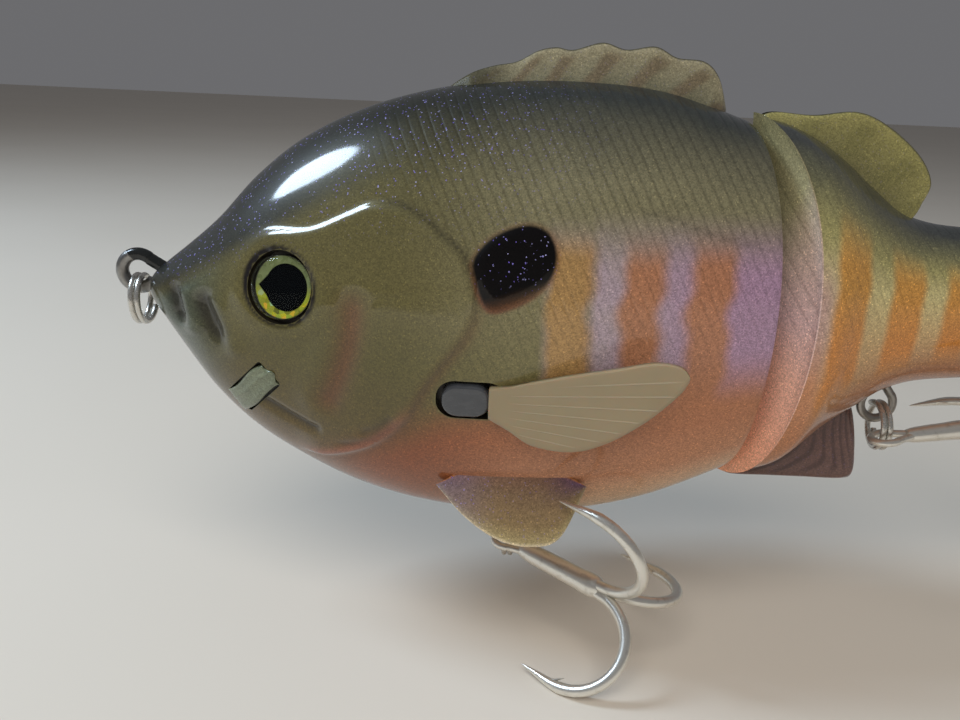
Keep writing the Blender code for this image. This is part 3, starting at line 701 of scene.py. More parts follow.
def rear_paint():
    """Tail section: dark back, orange bars over yellow-green, lavender near the hinge, salmon below."""
    look = Look("rear_paint")
    lift = look.linear(look.field("lift"), 0.5, 0.5)
    wobble = look.minus(look.noise(0.2, 3.0), 0.5)
    level = look.linear(wobble, 0.06, lift)
    side = look.ramp(
        level, (0.0, 166, 118, 88), (0.15, 158, 108, 74), (0.34, 176, 142, 98), (0.60, 182, 170, 122),
        (0.74, 142, 136, 90), (0.86, 94, 92, 68), (0.95, 52, 54, 52), (1.0, 42, 46, 46),
    )
    # The hinge wall's own pinkish paint, lightened to make up for the front section's shade: partly painted
    # light.
    rim = look.ramp(
        level, (0.0, 232, 170, 138), (0.3, 236, 188, 168), (0.5, 220, 188, 184), (0.7, 204, 180, 166),
        (0.86, 160, 152, 116), (1.0, 128, 122, 88),
    )
    mauve = look.mix(look.step(level, 0.30, 0.50), (176, 118, 82), (166, 134, 130))
    near = look.times(look.step(look.x, 90.5, 87.0), look.step(level, 0.72, 0.55))
    colour = look.mix(look.times(near, 0.85), side, mauve)
    bars = look.mix(look.step(look.z, -4.0, 6.0), (184, 116, 46), (180, 128, 58))
    colour = look.mix(look.times(look.field("bar"), 0.9), colour, bars)
    colour = look.mix(look.field("wall"), colour, rim)
    return metallic_paint(look, colour, 0.0, look.field("scales"), 1.4)


def fin_paint(name, colours, rays, slant=0.0, start_length=None):
    """Painted fin: rays run out from the root, with a darker free edge.

    colours are those of the root, the tip, the rays and the edge. start_length is the share of the fin,
    from its front end, over which the edge's colour fades out.
    """
    base, tip, ray_colour, dark = colours
    look = Look(name)
    reach = look.field("reach")
    ray = look.linear(reach, slant, look.field("ray"))
    wave = look.math("SINE", look.times(ray, 2 * math.pi * rays))
    shade = look.step(look.plus(wave, look.times(look.noise(0.5, 3.0), 0.9)), 0.2, 1.4)
    shade = look.times(shade, look.step(reach, 0.10, 0.40))
    shade = look.times(shade, look.step(reach, 0.98, 0.75))
    colour = look.mix(look.times(shade, 0.6), look.mix(reach, base, tip), ray_colour)
    colour = look.mix(look.step(reach, 0.955, 1.0), colour, dark)
    matt = 0.0
    if start_length:
        start = look.step(look.field("ray"), start_length, 0.3 * start_length)
        colour = look.mix(look.times(start, 0.9), colour, dark)
        matt = look.times(start, 1.7)
    made = metallic_paint(look, colour, 0.12, 0.0, 1.0, matt)
    look.bump(wave, 0.04)
    return made


def pelvic_paint():
    """Purple glitter at the front and rear top, brown in the middle, pale green-yellow at the lower edge."""
    look = Look("pelvic_paint")
    reach = look.field("reach")
    colour = look.ramp(
        reach, (0.0, 118, 84, 70), (0.35, 114, 92, 70), (0.75, 130, 110, 78), (1.0, 156, 142, 102),
    )
    front = look.step(look.x, 50.0, 43.0)
    colour = look.mix(look.times(front, 0.45), colour, (110, 98, 126))
    rear = look.times(look.step(look.x, 54.0, 60.0), look.step(reach, 0.6, 0.0))
    colour = look.mix(look.times(rear, 0.8), colour, (84, 60, 92))
    # A light orange line along the top edge: painted highlight on its rim.
    colour = look.mix(look.step(reach, 0.10, 0.02), colour, (156, 100, 56))
    colour = look.mix(look.step(reach, 0.95, 1.0), colour, (204, 188, 156))
    return metallic_paint(look, colour, look.linear(front, 0.6, 0.3), 0.0, 1.3)


def soft_plastic(name, colour, ray_colour, fan, spread):
    """Milky soft plastic that lets some light through, with fine rays that fan out from a point.

    fan is (x, z, step): the point in mm, and the slope from one ray to the next. spread is the part of
    the leaf over which the rays begin.
    """
    x, z, slope_step = fan
    look = Look(name)
    ray, reach = look.field("ray"), look.field("reach")
    slope = look.math("DIVIDE", look.minus(look.z, z), look.minus(look.x, x))
    thin = look.step(look.math("SINE", look.times(slope, 2 * math.pi / slope_step)), 0.88, 1.0)
    inside = look.times(look.step(ray, *spread), look.step(ray, 0.95, 0.78))
    inside = look.times(inside, look.step(reach, 0.10, 0.2))
    inside = look.times(inside, look.step(reach, 0.96, 0.88))
    rib = look.times(thin, inside)
    cloud = look.noise(0.25, 3.0)
    body = look.mix(look.times(cloud, 0.5), colour, look.mix(0.5, colour, (120, 112, 88)))
    body = look.mix(look.times(rib, 0.4), body, ray_colour)
    look.bump(rib, 0.05)
    return look.set(
        base_color=body, roughness=look.linear(cloud, 0.15, 0.26), ior=1.45, transmission_weight=0.35,
        subsurface_weight=0.35, subsurface_scale=0.002, coat_weight=0.5, coat_roughness=0.12,
    )


def wire_metal(name, colour, roughness):
    """Plated wire: drawing marks, slight stains and uneven shine."""
    look = Look(name)
    stain = look.noise(1.1, 4.0)
    streak = look.noise(6.0, 2.0, (0.4, 1.0, 1.0))
    tint = look.mix(look.times(look.step(stain, 0.52, 0.75), 0.35), colour,
                    (colour[0] * 0.5, colour[1] * 0.47, colour[2] * 0.42, 1.0))
    look.bump(streak, 0.01)
    rough = look.linear(stain, 0.22, roughness - 0.08)
    return look.set(base_color=tint, metallic=0.90, roughness=rough)


def tie_metal():
    """Bare steel wire whose upper rear part has caught the back's black paint."""
    look = Look("tie_metal")
    stain = look.noise(1.4, 4.0)
    bare = look.mix(stain, (120, 118, 116), (178, 176, 172))
    edge = look.plus(look.x, look.times(look.z, 0.9))
    edge = look.linear(look.minus(stain, 0.5), 0.8, edge)
    painted = look.step(edge, 0.7, 1.1)
    colour = look.mix(painted, bare, (24, 26, 26))
    look.bump(look.noise(5.0, 2.0), 0.02)
    return look.set(base_color=colour, metallic=look.minus(1.0, painted),
                    roughness=look.linear(painted, -0.2, 0.36))


def iris_look():
    """Gold-green holographic foil round a black teardrop pupil."""
    look = Look("iris_foil")
    u, v = look.field("across"), look.field("upward")
    radius = look.math("SQRT", look.plus(look.times(u, u), look.times(v, v)))
    shards = look.flakes(1.6)
    foil = look.ramp(
        shards[0], (0.0, 86, 86, 24), (0.3, 150, 146, 28), (0.55, 134, 148, 44), (0.80, 184, 164, 32),
        (0.97, 204, 146, 38), (1.0, 100, 186, 158),
    )
    # Greyer olive over the upper part: partly the foil's olive, partly a painted reflection of light at the
    # top.
    upper = look.mix(look.noise(1.2, 3.0), (84, 90, 56), (124, 128, 90))
    colour = look.mix(look.step(v, -1.4, 0.8), foil, upper)
    beak_edge = look.minus(look.linear(look.math("ABSOLUTE", v), 0.95, -3.4), u)
    beak = look.times(look.step(beak_edge, 0.12, -0.12), look.step(u, -1.4, -1.8))
    beak = look.times(beak, look.step(radius, 3.78, 3.6))
    shifted = look.minus(u, 0.42)
    disc = look.math("SQRT", look.plus(look.times(shifted, shifted), look.times(v, v)))
    pupil = look.math("MAXIMUM", beak, look.step(disc, 2.95, 2.85))
    colour = look.mix(pupil, colour, (6, 7, 9))
    colour = look.mix(look.step(radius, 3.72, 3.88), colour, (40, 38, 30))
    return look.set(
        base_color=colour, metallic=0.0, roughness=look.linear(shards[1], 0.2, 0.22),
        specular_ior_level=look.linear(pupil, -0.5, 0.5),
    )


def clear_resin():
    """Clear domed resin: glossier toward its edge, otherwise seen straight through."""
    look = Look("clear_resin")
    look.bump(look.noise(0.6, 1.0), 0.02)
    look.set(base_color=(0.5, 0.5, 0.5, 1.0), metallic=1.0,
             roughness=look.linear(look.noise(2.0, 2.0), 0.05, 0.02))
    edge = look.add("ShaderNodeLayerWeight")
    edge.inputs["Blend"].default_value = 0.5
    shine = look.linear(look.math("POWER", edge.outputs["Facing"], 4.0), 0.8, 0.010)
    clear = look.add("ShaderNodeBsdfTransparent")
    clear.inputs["Color"].default_value = (0.97, 1.0, 0.98, 1.0)
    blend = look.add("ShaderNodeMixShader")
    look.feed(blend.inputs[0], shine)
    look.feed(blend.inputs[1], clear.outputs[0])
    look.feed(blend.inputs[2], look.shader.outputs[0])
    look.feed(look.tree.nodes["Material Output"].inputs[0], blend.outputs[0])
    return look.material


def lip_paint():
    """The body's olive on the lip insert, paler and more satin."""
    look = Look("lip_paint")
    colour = look.mix(look.noise(0.8, 3.0), (90, 98, 80), (114, 120, 96))
    made = metallic_paint(look, colour, 0.0, 0.0, 0.6)
    look.set(metallic=0.15, roughness=0.35)
    return made


def dark_plastic():
    """Dark blue-grey glossy plastic with light handling marks."""
    look = Look("dark_plastic")
    mark = look.noise(0.9, 4.0, (1.0, 1.0, 2.0))
    colour = look.mix(mark, (46, 49, 54), (68, 70, 74))
    look.bump(look.noise(4.0, 2.0), 0.008)
    return look.set(base_color=colour, roughness=look.linear(mark, 0.2, 0.16), coat_weight=0.6)


def lead_look():
    """Dull cast lead with a grainy, oxidised face."""
    look = Look("lead")
    grain = look.noise(1.2, 5.0)
    look.bump(grain, 0.12)
    return look.set(base_color=look.mix(grain, (88, 90, 94), (140, 142, 146)), metallic=0.8,
                    roughness=look.linear(grain, 0.25, 0.45))


# ---------------------------------------------------------------- body

def stripe(x, low, high, before, after):
    """1 between two values of x, with a soft edge that reaches out and in by before and after."""
    return smoothstep(x, low - before, low + after) * smoothstep(-x, -high - after, -high + before)


def front_relief(x, z, lift):
    """Height of the moulded relief on the front section, and where its colours lie."""
    height = np.zeros_like(x)
    # line darkens the moulded grooves and edges: partly their own dark paint, partly painted shade in the
    # creases.
    line = np.zeros_like(x)
    for depth, width, path in SNOUT_FOLDS:
        mask = line_mask(x, z, path, width, 0.36)
        height += 0.35 * line_mask(x, z, moved(path, 2.0, -0.6), 1.3) - depth * mask
        line += 1.5 * mask
    height -= 0.6 * line_mask(x, z, MOUTH, 0.7)
    line += 0.9 * line_mask(x, z, MOUTH, 0.45)
    fold = line_mask(x, z, CHEEK_FOLD, 1.5)
    height += 0.25 * line_mask(x, z, moved(CHEEK_FOLD, -2.6, 0.0), 2.0) - 0.5 * fold

    # The gill cover stands above the skin behind it, with a brow over the eye at its front end.
    distance, side, along = curve_distance(x, z, GILL_EDGE)
    inside = distance * -side
    ends = smoothstep(along, 0.0, 0.10) * smoothstep(1.0 - along, 0.0, 0.06)
    edge_width = 0.9 - 0.3 * smoothstep(along, 0.25, 0.4)
    rise = 0.48 + 0.27 * smoothstep(along, 0.15, 0.32)
    height += ends * rise * smoothstep(inside, -0.35, edge_width) * np.exp(-np.maximum(inside, 0.0) / 5.0)
    rear_part = smoothstep(along, 0.22, 0.32)
    line += rear_part * smoothstep(0.58 - along, 0.0, 0.08) * 0.75 * np.exp(-((inside + 0.15) / 0.32) ** 2)
    gill = rear_part * ends * smoothstep(along, 0.5, 0.6) * np.exp(-((inside + 0.2) / 0.8) ** 2)
    for path in CHIN_FOLDS:
        mask = line_mask(x, z, path, 0.45)
        height -= 0.28 * mask
        line += 0.45 * mask
    distance, side, _ = curve_distance(x, z, EAR_FLAP, True)
    in_ear = distance * -side
    height += 0.55 * smoothstep(in_ear, -0.3, 1.0)
    lateral = line_mask(x, z, LATERAL_LINE, 0.22)
    height -= 0.10 * lateral
    line += 0.35 * lateral
    from_eye = np.hypot(x - EYE_CENTRE[0], z - EYE_CENTRE[1])
    height += 0.25 * np.exp(-((from_eye - 5.6) / 1.2) ** 2)

    # Colour zones.
    border = np.interp(x, *zip(*BELLY_BORDER))
    wavy = x + (0.22 * np.sin(1.25 * z) + 0.35 * np.sin(0.6 * z + 1.0))
    bar = np.zeros_like(x)
    for low, high, top in FRONT_BARS:
        bar = np.maximum(bar, stripe(wavy, low, high, 0.9, 0.9) * smoothstep(-z, -top, -top + 6.0))
    first_bar = smoothstep(x, 52.6, 54.2) * smoothstep(-z, -14.0, -8.0) * bar
    flank = smoothstep(x, 52.0, 58.0) * smoothstep(-z, -13.5, -5.0) * smoothstep(x, 57.6, 59.8)
    scales = smoothstep(x, 30.0, 44.0) * smoothstep(lift, -0.45, 0.1) * (1.0 - smoothstep(in_ear, -0.6, 0.2))
    scales = scales * (0.55 + 0.45 * smoothstep(z, 2.0, 14.0))
    scales = scales * (1.0 - 0.85 * smoothstep(inside, -0.5, 0.5) * (x < 46.0))
    return height, {
        "lift": lift, "line": np.clip(line, 0.0, 1.0), "bar": bar, "flank": np.maximum(first_bar, flank),
        "belly": smoothstep(border - z, -3.5, 4.5),
        "blush": np.clip(0.9 * fold + 0.45 * gill, 0.0, 1.0),
        "pale": ends * smoothstep(along, 0.72, 0.8) * np.exp(-((inside - 0.7) / 0.6) ** 2),
        "ear": smoothstep(in_ear, -0.9, 1.0),
        # socket is a dark ring round the eye socket: painted shade of the recess.
        "socket": smoothstep(-from_eye, -5.0, -4.6),
        "scales": scales,
    }


def rear_relief(x, z, lift):
    """The tail section's faint lateral line and where its bars lie."""
    lateral = line_mask(x, z, REAR_LATERAL_LINE, 0.25)
    wavy = x + (0.08 * np.sin(1.1 * z) + 0.12 * np.sin(0.6 * z + 2.0))
    bar = np.max([stripe(wavy, low, high, 0.7, 0.6) for low, high in REAR_BARS], axis=0)
    bar = bar * smoothstep(-lift, -0.66, -0.30) * smoothstep(lift, -0.75, -0.35)
    return -0.08 * lateral, {"lift": lift, "bar": bar, "scales": 0.5 * smoothstep(lift, -0.4, 0.1)}


def pocket(size, grow, low, place_frame, corner, turn=0.0):
    """A closed cutter for a recess in the flank."""
    slab = rounded_slab(size[0] + grow[0], size[1] + grow[1], low, CUTTER_TOP, corner, place_frame, turn,
                        soft=0.05)
    return mesh_object("cutter", *slab, CUT_LOOK)


def box_cutter(low, high):
    corners = [(x, y, z) for x in (low[0], high[0]) for y in (low[1], high[1]) for z in (low[2], high[2])]
    faces = ((0, 1, 3, 2), (4, 5, 7, 6), (0, 1, 5, 4), (2, 3, 7, 6), (0, 2, 6, 4), (1, 3, 7, 5))
    return mesh_object("cutter", corners, faces, CUT_LOOK)


def pocket_shade():
    """Painted shade: dark, slightly glossy colour on the walls of the sockets and slots, where shade falls.
    """
    look = Look("pocket_shade")
    shade_mottle = look.noise(1.2, 3.0)
    look.bump(shade_mottle, 0.02)
    return look.set(base_color=look.mix(shade_mottle, (22, 18, 15), (44, 37, 28)),
                    roughness=look.linear(shade_mottle, 0.2, 0.3))


# The walls of every cut recess take this painted shade.
CUT_LOOK = pocket_shade()
CUTTER_TOP = 4.0
SOCKET_PROFILE = ((0.0, -2.0), (EYE_SOCKET, -2.0), (EYE_SOCKET, CUTTER_TOP), (0.0, CUTTER_TOP))
FRONT_ROWS = smooth_rows(FRONT_STATIONS, 200)
REAR_ROWS = smooth_rows(REAR_STATIONS, 160)

front_skin = skin("front_skin", FRONT_STATIONS, (FRONT_STATIONS[-1][0], FRONT_VEE), 1, (20, 170),
                  front_relief, front_paint())
tools = []
for suffix, side in SIDES:
    socket = flank_frame(FRONT_ROWS, EYE_CENTRE, side)
    tools.append(turned("cutter", SOCKET_PROFILE, socket, CUT_LOOK))
    lip = flank_frame(FRONT_ROWS, LIP_CENTRE, side)
    tools.append(pocket(LIP_VISIBLE, (0.5, 0.5), -1.4, lip, 0.12, LIP_SLOPE * -side))
    root = flank_frame(FRONT_ROWS, (PECTORAL_ROOT[0] + 0.6, PECTORAL_ROOT[1]), side)
    tools.append(pocket(ROOT_SIZE, (2.6, 0.8), -1.7, root, 0.45))
cut(front_skin, tools)
place(front_skin, "front", "front_paint", "front_shell_left", "front_shell_right")

rear_skin = skin("rear_skin", REAR_STATIONS, (REAR_STATIONS[0][0], REAR_VEE), -1, (20, 110),
                 rear_relief, rear_paint())
cut(rear_skin, [
    box_cutter((HINGE_SLOT_X[0], -HINGE_SLOT_Y, height - HINGE_SLOT_Z),
               (HINGE_SLOT_X[1], HINGE_SLOT_Y, height + HINGE_SLOT_Z))
    for height in HINGE_EYE_HEIGHTS
])
place(rear_skin, "rear", "rear_paint", "rear_shell_left", "rear_shell_right")


# ---------------------------------------------------------------- fins

def middle_plane(u, v, w):
    return (u, w, v)


def root_line(rows, edge, column, sink):
    """The body's outline under a fin's edge, sunk into the body."""
    xs = np.linspace(edge[0][0], edge[-1][0], len(edge))
    return [(x, np.interp(x, rows[:, 0], rows[:, column]) + sink) for x in xs]


dorsal_look = fin_paint("dorsal_paint", ((66, 66, 50), (138, 131, 106), (92, 76, 58), (60, 58, 46)), 7.0,
                        -0.14, 0.30)
dorsal = blade("dorsal_fin", root_line(FRONT_ROWS, DORSAL_EDGE, 1, -2.2), DORSAL_EDGE, middle_plane, 1.1,
               dorsal_look, (160, 30), flare=(2.6, 3.1))
place(dorsal, "front", "front_paint")
lobe_look = fin_paint("lobe_paint", ((92, 88, 58), (136, 130, 80), (106, 102, 62), (70, 68, 48)), 5.0)
lobe = blade("rear_dorsal_lobe", root_line(REAR_ROWS, LOBE_EDGE, 1, -2.2), LOBE_EDGE, middle_plane, 1.2,
             lobe_look, (140, 34), flare=(1.6, 3.4))
place(lobe, "rear", "rear_paint")
anal_look = fin_paint("anal_paint", ((84, 54, 48), (96, 72, 66), (50, 30, 30), (128, 104, 104)), 11.0, 0.45)
anal = blade("anal_fin", root_line(REAR_ROWS, ANAL_EDGE, 2, 1.6), ANAL_EDGE, middle_plane, 1.1,
             anal_look, (140, 26), flare=(1.2, 2.6))
place(anal, "rear", "rear_paint")

PELVIC_TILT = math.atan(PELVIC_FLARE)
PELVIC_MIDDLE, PELVIC_HALF = 51.0, 9.6


def pelvic_plane(side):
    """Where a point of a pelvic fin's outline goes: flared outward and cupped along its length."""
    def placing(u, v, w):
        cup = 0.5 * math.cos((u - PELVIC_MIDDLE) / PELVIC_HALF * math.pi / 2)
        y = PELVIC_TOP_Y + PELVIC_FLARE * (PELVIC_TOP_Z - v) + (w + cup - 0.25) * math.cos(PELVIC_TILT)
        return (u, side * y, v + (w + cup - 0.25) * math.sin(PELVIC_TILT))
    return placing


def pectoral_plane(side):
    """Where a point of a pectoral fin's outline goes: flared to the rear, thicker at its neck."""
    def placing(u, v, w):
        neck = max(0.0, min(1.0, (50.2 - u) / 2.2))
        y = PECTORAL_ROOT_Y + PECTORAL_FLARE * (u - 48.6) + w - 1.3 * neck * neck * (w < 0)
        return (u - w * PECTORAL_FLARE, side * y, v)
    return placing


pelvic_look = pelvic_paint()
pectoral_look = soft_plastic("pectoral_soft", srgb(168, 152, 120), srgb(206, 196, 170), (30.0, -11.0, 0.046),
                             (0.12, 0.28))
root_look = dark_plastic()
for suffix, side in SIDES:
    leaf = blade("pelvic_leaf" + suffix, PELVIC_TOP, PELVIC_LOW, pelvic_plane(side), 1.0, pelvic_look,
                 (90, 26))
    place(leaf, "front", "fin_paint", "pelvic_fin" + suffix)
    leaf = blade("pectoral_leaf" + suffix, PECTORAL_TOP, PECTORAL_LOW, pectoral_plane(side), 0.9,
                 pectoral_look, (100, 40), open_ends=True)
    place(leaf, "front", "soft_fin", "pectoral_fin" + suffix)
    slab = rounded_slab(*ROOT_SIZE, -1.5, 0.5, 0.45, flank_frame(FRONT_ROWS, PECTORAL_ROOT, side), soft=0.45,
                        dome=0.1)
    tab = mesh_object("pectoral_tab" + suffix, *slab, root_look)
    place(tab, "front", "dark_plastic", "pectoral_root" + suffix)


# ---------------------------------------------------------------- eyes and lips

def lip_insert(name, side, look):
    """The mouth-corner insert: a strip that follows the jaw, with two moulded ridges and a notched end."""
    columns, rows = 48, 24
    length, width = LIP_VISIBLE
    u, v = np.meshgrid(np.linspace(-0.5, 0.5, columns), np.linspace(-0.5, 0.5, rows), indexing="ij")
    notch = 0.35 * smoothstep(u, 0.30, 0.5) * np.cos(2.5 * np.pi * v)
    along = u * length + notch + 0.25 * np.sin(np.pi * v) * smoothstep(-u, 0.2, 0.5)
    across = v * width * (1.0 - 0.12 * smoothstep(u, 0.2, 0.5)) + 0.22 * np.sin(2.0 * np.pi * u)
    cos, sin = math.cos(LIP_SLOPE), math.sin(LIP_SLOPE)
    x = LIP_CENTRE[0] + along * cos - across * sin
    z = LIP_CENTRE[1] + along * sin + across * cos
    edge = np.minimum(np.minimum(0.5 - abs(u), 0.5 - abs(v)) * width, 0.35) / 0.35
    ridge = 0.16 * np.exp(-((v - 0.12 + 0.1 * u) / 0.10) ** 2) + 0.14 * np.exp(-((v + 0.32) / 0.08) ** 2)
    height = 0.05 + 0.22 * np.sqrt(1.0 - (1.0 - edge) ** 2) + ridge
    flank = flank_y(FRONT_ROWS, x, z)
    verts = []
    for depth in (height, np.full_like(height, -1.1)):
        verts += list(np.stack([x, side * (flank + depth), z], axis=2).reshape(-1, 3))
    faces = leaf_faces(columns, rows, (0, columns - 1), (0, rows - 1))
    return mesh_object(name, verts, faces, look, None, 45)


def iris(name, side, look, rings=24, count=72):
    """A flat disc in the eye socket, which knows each point's place on it for its print."""
    profile = [(EYE_RADIUS * step / rings, IRIS_FACE) for step in range(rings + 1)]
    profile += [(EYE_RADIUS, IRIS_BACK), (0.0, IRIS_BACK)]
    across, upward = [], []
    for radius, _ in profile:
        for step in range(count):
            angle = 2 * math.pi * step / count
            across.append(radius * math.cos(angle))
            upward.append(radius * math.sin(angle) * -side)
    socket = flank_frame(FRONT_ROWS, EYE_CENTRE, side)
    return turned(name, profile, socket, look, count, {"across": across, "upward": upward}, 40)


def lens(name, side, look, steps=18):
    profile = [(0.0, DOME_BACK), (EYE_RADIUS, DOME_BACK), (EYE_RADIUS, DOME_EDGE)]
    for step in range(1, steps + 1):
        angle = math.pi / 2 * step / steps
        profile.append((EYE_RADIUS * math.cos(angle), DOME_EDGE + DOME_RISE * math.sin(angle)))
    return turned(name, profile, flank_frame(FRONT_ROWS, EYE_CENTRE, side), look, 72, None, 40)


foil, resin, lip_look = iris_look(), clear_resin(), lip_paint()
for suffix, side in SIDES:
    place(iris("iris" + suffix, side, foil), "front", "iris_foil", "eye_iris" + suffix)
    place(lens("lens" + suffix, side, resin), "front", "clear_resin", "eye_lens" + suffix)
    place(lip_insert("lip" + suffix, side, lip_look), "front", "lip_paint", "lip_insert" + suffix)


# ---------------------------------------------------------------- wire

def screw_eye(centre, radius, wire, plane_x, plane_y, shank):
    """A wire loop about centre in the plane of two axes, whose shank runs off along plane_x."""
    centre, plane_x, plane_y = Vector(centre), Vector(plane_x), Vector(plane_y)
    neck = radius + 2.4 * wire
    path = [(neck + shank, 0.0), (neck, 0.0)]
    for step in range(41):
        angle = math.radians(44.0 + 282.0 * step / 40)
        path.append((radius * math.cos(angle), radius * math.sin(angle)))
    fine = np.vstack([path[:1], smooth_rows(path[1:], 150)])
    return tube([centre + plane_x * a + plane_y * b for a, b in fine], [wire] * len(fine), 22)


def split_ring(centre):
    """Nearly two close turns of round wire about the X axis."""
    path = []
    for step in range(151):
        part = step / 150
        angle = 2 * math.pi * RING_TURNS * part + math.pi / 3
        path.append(centre + Vector((RING_PITCH * RING_TURNS * (part - 0.5), RING_RADIUS * math.cos(angle),
                                     RING_RADIUS * math.sin(angle))))
    return tube(path, [RING_WIRE] * len(path), 16)


def treble(eye, size):
    """A three-point hook: teardrop eye, brazed shank and three bent arms with barbs."""
    axis = size["axis"].normalized()
    first = (size["first_arm"] - axis * size["first_arm"].dot(axis)).normalized()
    up = Vector((0, 0, 1))
    flat = axis.cross(up - axis * up.dot(axis)).normalized()
    loop, end = size["eye"], size["shank"]
    start = loop + 1.6
    spine = smooth_rows([
        (start - 0.6, 0.72), (start + 0.4, 0.86), (start + 2.2, 0.95), (end - 4.0, 1.0), (end - 2.0, 1.08),
        (end - 0.6, 1.02), (end + 0.3, 0.7),
    ], 50)
    parts = [tube([eye + axis * a for a, _ in spine], [size["shank_radius"] * r for _, r in spine], 24)]
    path = [(start + 1.4, 0.32), (start + 0.2, 0.40)]
    for step in range(21):
        angle = math.radians(42.0 + 276.0 * step / 20)
        path.append((loop * math.cos(angle), loop * math.sin(angle)))
    path += [(start + 0.2, -0.40), (start + 1.4, -0.32)]
    fine = smooth_rows(path, 110)
    parts.append(tube([eye + axis * a + flat * b for a, b in fine], [size["eye_wire"]] * len(fine), 16))
    for arm in range(3):
        outward = Matrix.Rotation(2 * math.pi * arm / 3, 3, axis) @ first
        parts += arm_parts(eye, axis, outward, size)
    return joined(parts)


def arm_parts(eye, axis, outward, size):
    """One arm of a treble, from inside the shank round its bend to its point, and its barb."""
    end, bend, wire, tip = size["shank"], size["bend"], size["wire"], size["point"]
    root = 0.8 * wire
    rows = [(end - 3.0, root), (end - 1.2, root)]
    for step in range(13):
        angle = math.pi * step / 12
        rows.append((end + 1.1 * bend * math.sin(angle), root + bend * (1.0 - math.cos(angle))))
    rows += [(end - 0.5 * tip, root + 2 * bend - 0.1), (end - tip, root + 2 * bend - 0.2)]
    fine = smooth_rows(rows, 130)
    distance = np.concatenate([[0.0], np.cumsum(np.linalg.norm(np.diff(fine, axis=0), axis=1))])
    left = distance[-1] - distance
    radii = wire * np.clip(0.06 + 0.94 * (left / (1.25 * tip)) ** 0.8, 0.0, 1.0)
    made = [tube([eye + axis * a + outward * b for a, b in fine], list(radii), 20)]
    at = int(np.argmin(np.abs(left - 0.95 * tip)))
    a, b = fine[at]
    inward = -outward
    foot = eye + axis * a + outward * b + inward * radii[at] * 0.2
    barb = [foot - axis * 0.55 * wire, foot + axis * 0.9 * wire + inward * wire * 0.75,
            foot + axis * 2.2 * wire + inward * wire * 1.75]
    made.append(tube(barb, [wire * 0.55, wire * 0.42, wire * 0.05], 10, 0.5))
    return made


def wire(name, solid, look, body, slot, node):
    place(mesh_object(name, *solid, look, None, 50), body, slot, node)


x_axis, y_axis, z_axis = Vector((1, 0, 0)), Vector((0, 1, 0)), Vector((0, 0, 1))
ring_steel = wire_metal("ring_steel", srgb(214, 211, 204), 0.24)
hook_tin = wire_metal("hook_tin", srgb(236, 233, 224), 0.30)
hanger_steel = wire_metal("hanger_wire", srgb(168, 164, 158), 0.30)
wire("tie_eye", screw_eye((0, 0, 0), TIE_RADIUS, TIE_WIRE, x_axis, z_axis, TIE_SHANK), tie_metal(), "front",
     "black_wire", "line_tie")
wire("nose_ring", split_ring(NOSE_RING_CENTRE), ring_steel, "nose_ring", "tinned_wire", "nose_split_ring")
for name, (centre, shank, body) in HANGERS.items():
    wire(name + "_hanger_wire", screw_eye(centre, HANGER_RADIUS, HANGER_WIRE, z_axis, x_axis, shank),
         hanger_steel, body, "tinned_wire", name + "_hanger")
    pivot = centre - HANGER_RADIUS * z_axis
    away = -math.cos(RING_DROP[name]) * y_axis - math.sin(RING_DROP[name]) * z_axis
    wire(name + "_ring_wire", split_ring(pivot + RING_OFFSET * away), ring_steel, name + "_ring",
         "tinned_wire", name + "_split_ring")
    wire(name + "_hook_wire", treble(pivot + (RING_OFFSET + RING_RADIUS) * away, HOOKS[name]), hook_tin,
         name + "_hook", "hook_steel", name + "_treble")


# ---------------------------------------------------------------- CAD nodes that stay

tail_rubber = soft_plastic("tail_soft", srgb(150, 128, 72), srgb(64, 48, 20), (110.0, 0.4, 0.07), (0.02, 0.1))
KEPT = (
    (lead_look(), ("ballast_fore", "ballast_aft", "rear_ballast")),
    (hanger_steel, ("hinge_pin", "hinge_eye_upper", "hinge_eye_lower", "tail_pin")),
    (tail_rubber, ("tail_fin",)),
)
for look, names in KEPT:
    for name in names:
        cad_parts[name].data.materials.clear()
        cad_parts[name].data.materials.append(look)


# ---------------------------------------------------------------- studio

FLOOR_HALF, WORLD_STRENGTH = 3.0, 0.24
AIM = (0.06, 0.0, 0.0)
CAMERA_PLACE = Vector((46.3, -119.5, 26.1))
CAMERA_PITCH, CAMERA_ROLL = math.radians(17.0), math.radians(-2.6)


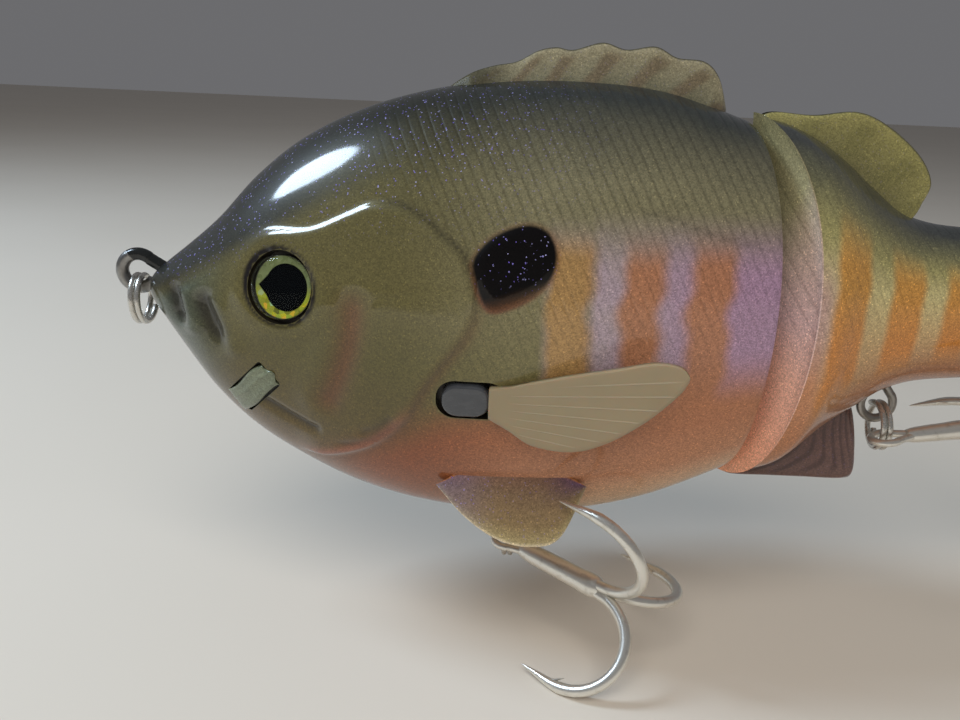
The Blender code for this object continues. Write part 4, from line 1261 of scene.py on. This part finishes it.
def area_light(name, place_at, aim, size, power, colour, mirrored):
    """A soft oval light in metres, seen or not seen in glossy reflections."""
    data = bpy.data.lights.new(name, "AREA")
    data.shape = "ELLIPSE"
    data.size, data.size_y = size
    data.energy = power
    data.color = colour
    lamp = bpy.data.objects.new(name, data)
    lamp.location = place_at
    lamp.visible_glossy = mirrored
    lamp.rotation_euler = (Vector(aim) - Vector(place_at)).to_track_quat("-Z", "Y").to_euler()
    bpy.context.scene.collection.objects.link(lamp)


def floor_look():
    look = Look("floor")
    return look.set(base_color=look.mix(look.noise(0.01, 2.0), (208, 200, 187), (215, 207, 195)),
                    roughness=0.6)


floor_mesh = bpy.data.meshes.new("floor")
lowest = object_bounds()[0][2]
corners = [(a * FLOOR_HALF, b * FLOOR_HALF, lowest) for a, b in ((-1, -1), (1, -1), (1, 1), (-1, 1))]
floor_mesh.from_pydata(corners, [], [(0, 1, 2, 3)])
floor_mesh.materials.append(floor_look())
floor = bpy.data.objects.new("floor", floor_mesh)
bpy.context.scene.collection.objects.link(floor)

world = bpy.data.worlds.new("studio")
world.use_nodes = True
world.node_tree.nodes["Background"].inputs["Color"].default_value = srgb(206, 206, 210)
world.node_tree.nodes["Background"].inputs["Strength"].default_value = WORLD_STRENGTH
bpy.context.scene.world = world
area_light("window", (-0.42, 0.04, 0.46), AIM, (0.20, 0.26), 3.2, (0.66, 0.82, 1.0), True)
area_light("room", (0.02, -0.55, 0.62), AIM, (0.7, 0.6), 4.6, (1.0, 0.97, 0.93), False)
area_light("low_fill", (-0.20, -0.50, 0.05), AIM, (0.4, 0.4), 0.8, (1.0, 0.96, 0.92), False)


# ---------------------------------------------------------------- camera

lens_data = bpy.data.cameras.new("camera")
lens_data.lens = 34.0
lens_data.sensor_width = 36.0
lens_data.clip_start = MM
camera = bpy.data.objects.new("camera", lens_data)
forward = Vector((0.0, math.cos(CAMERA_PITCH), -math.sin(CAMERA_PITCH)))
up = Matrix.Rotation(CAMERA_ROLL, 3, forward) @ x_axis.cross(forward)
axes = Matrix((forward.cross(up), up, -forward)).transposed().to_4x4()
camera.matrix_world = Matrix.Translation(CAMERA_PLACE * MM) @ axes
bpy.context.scene.collection.objects.link(camera)
bpy.context.scene.camera = camera
bpy.context.scene.view_settings.view_transform = "Standard"
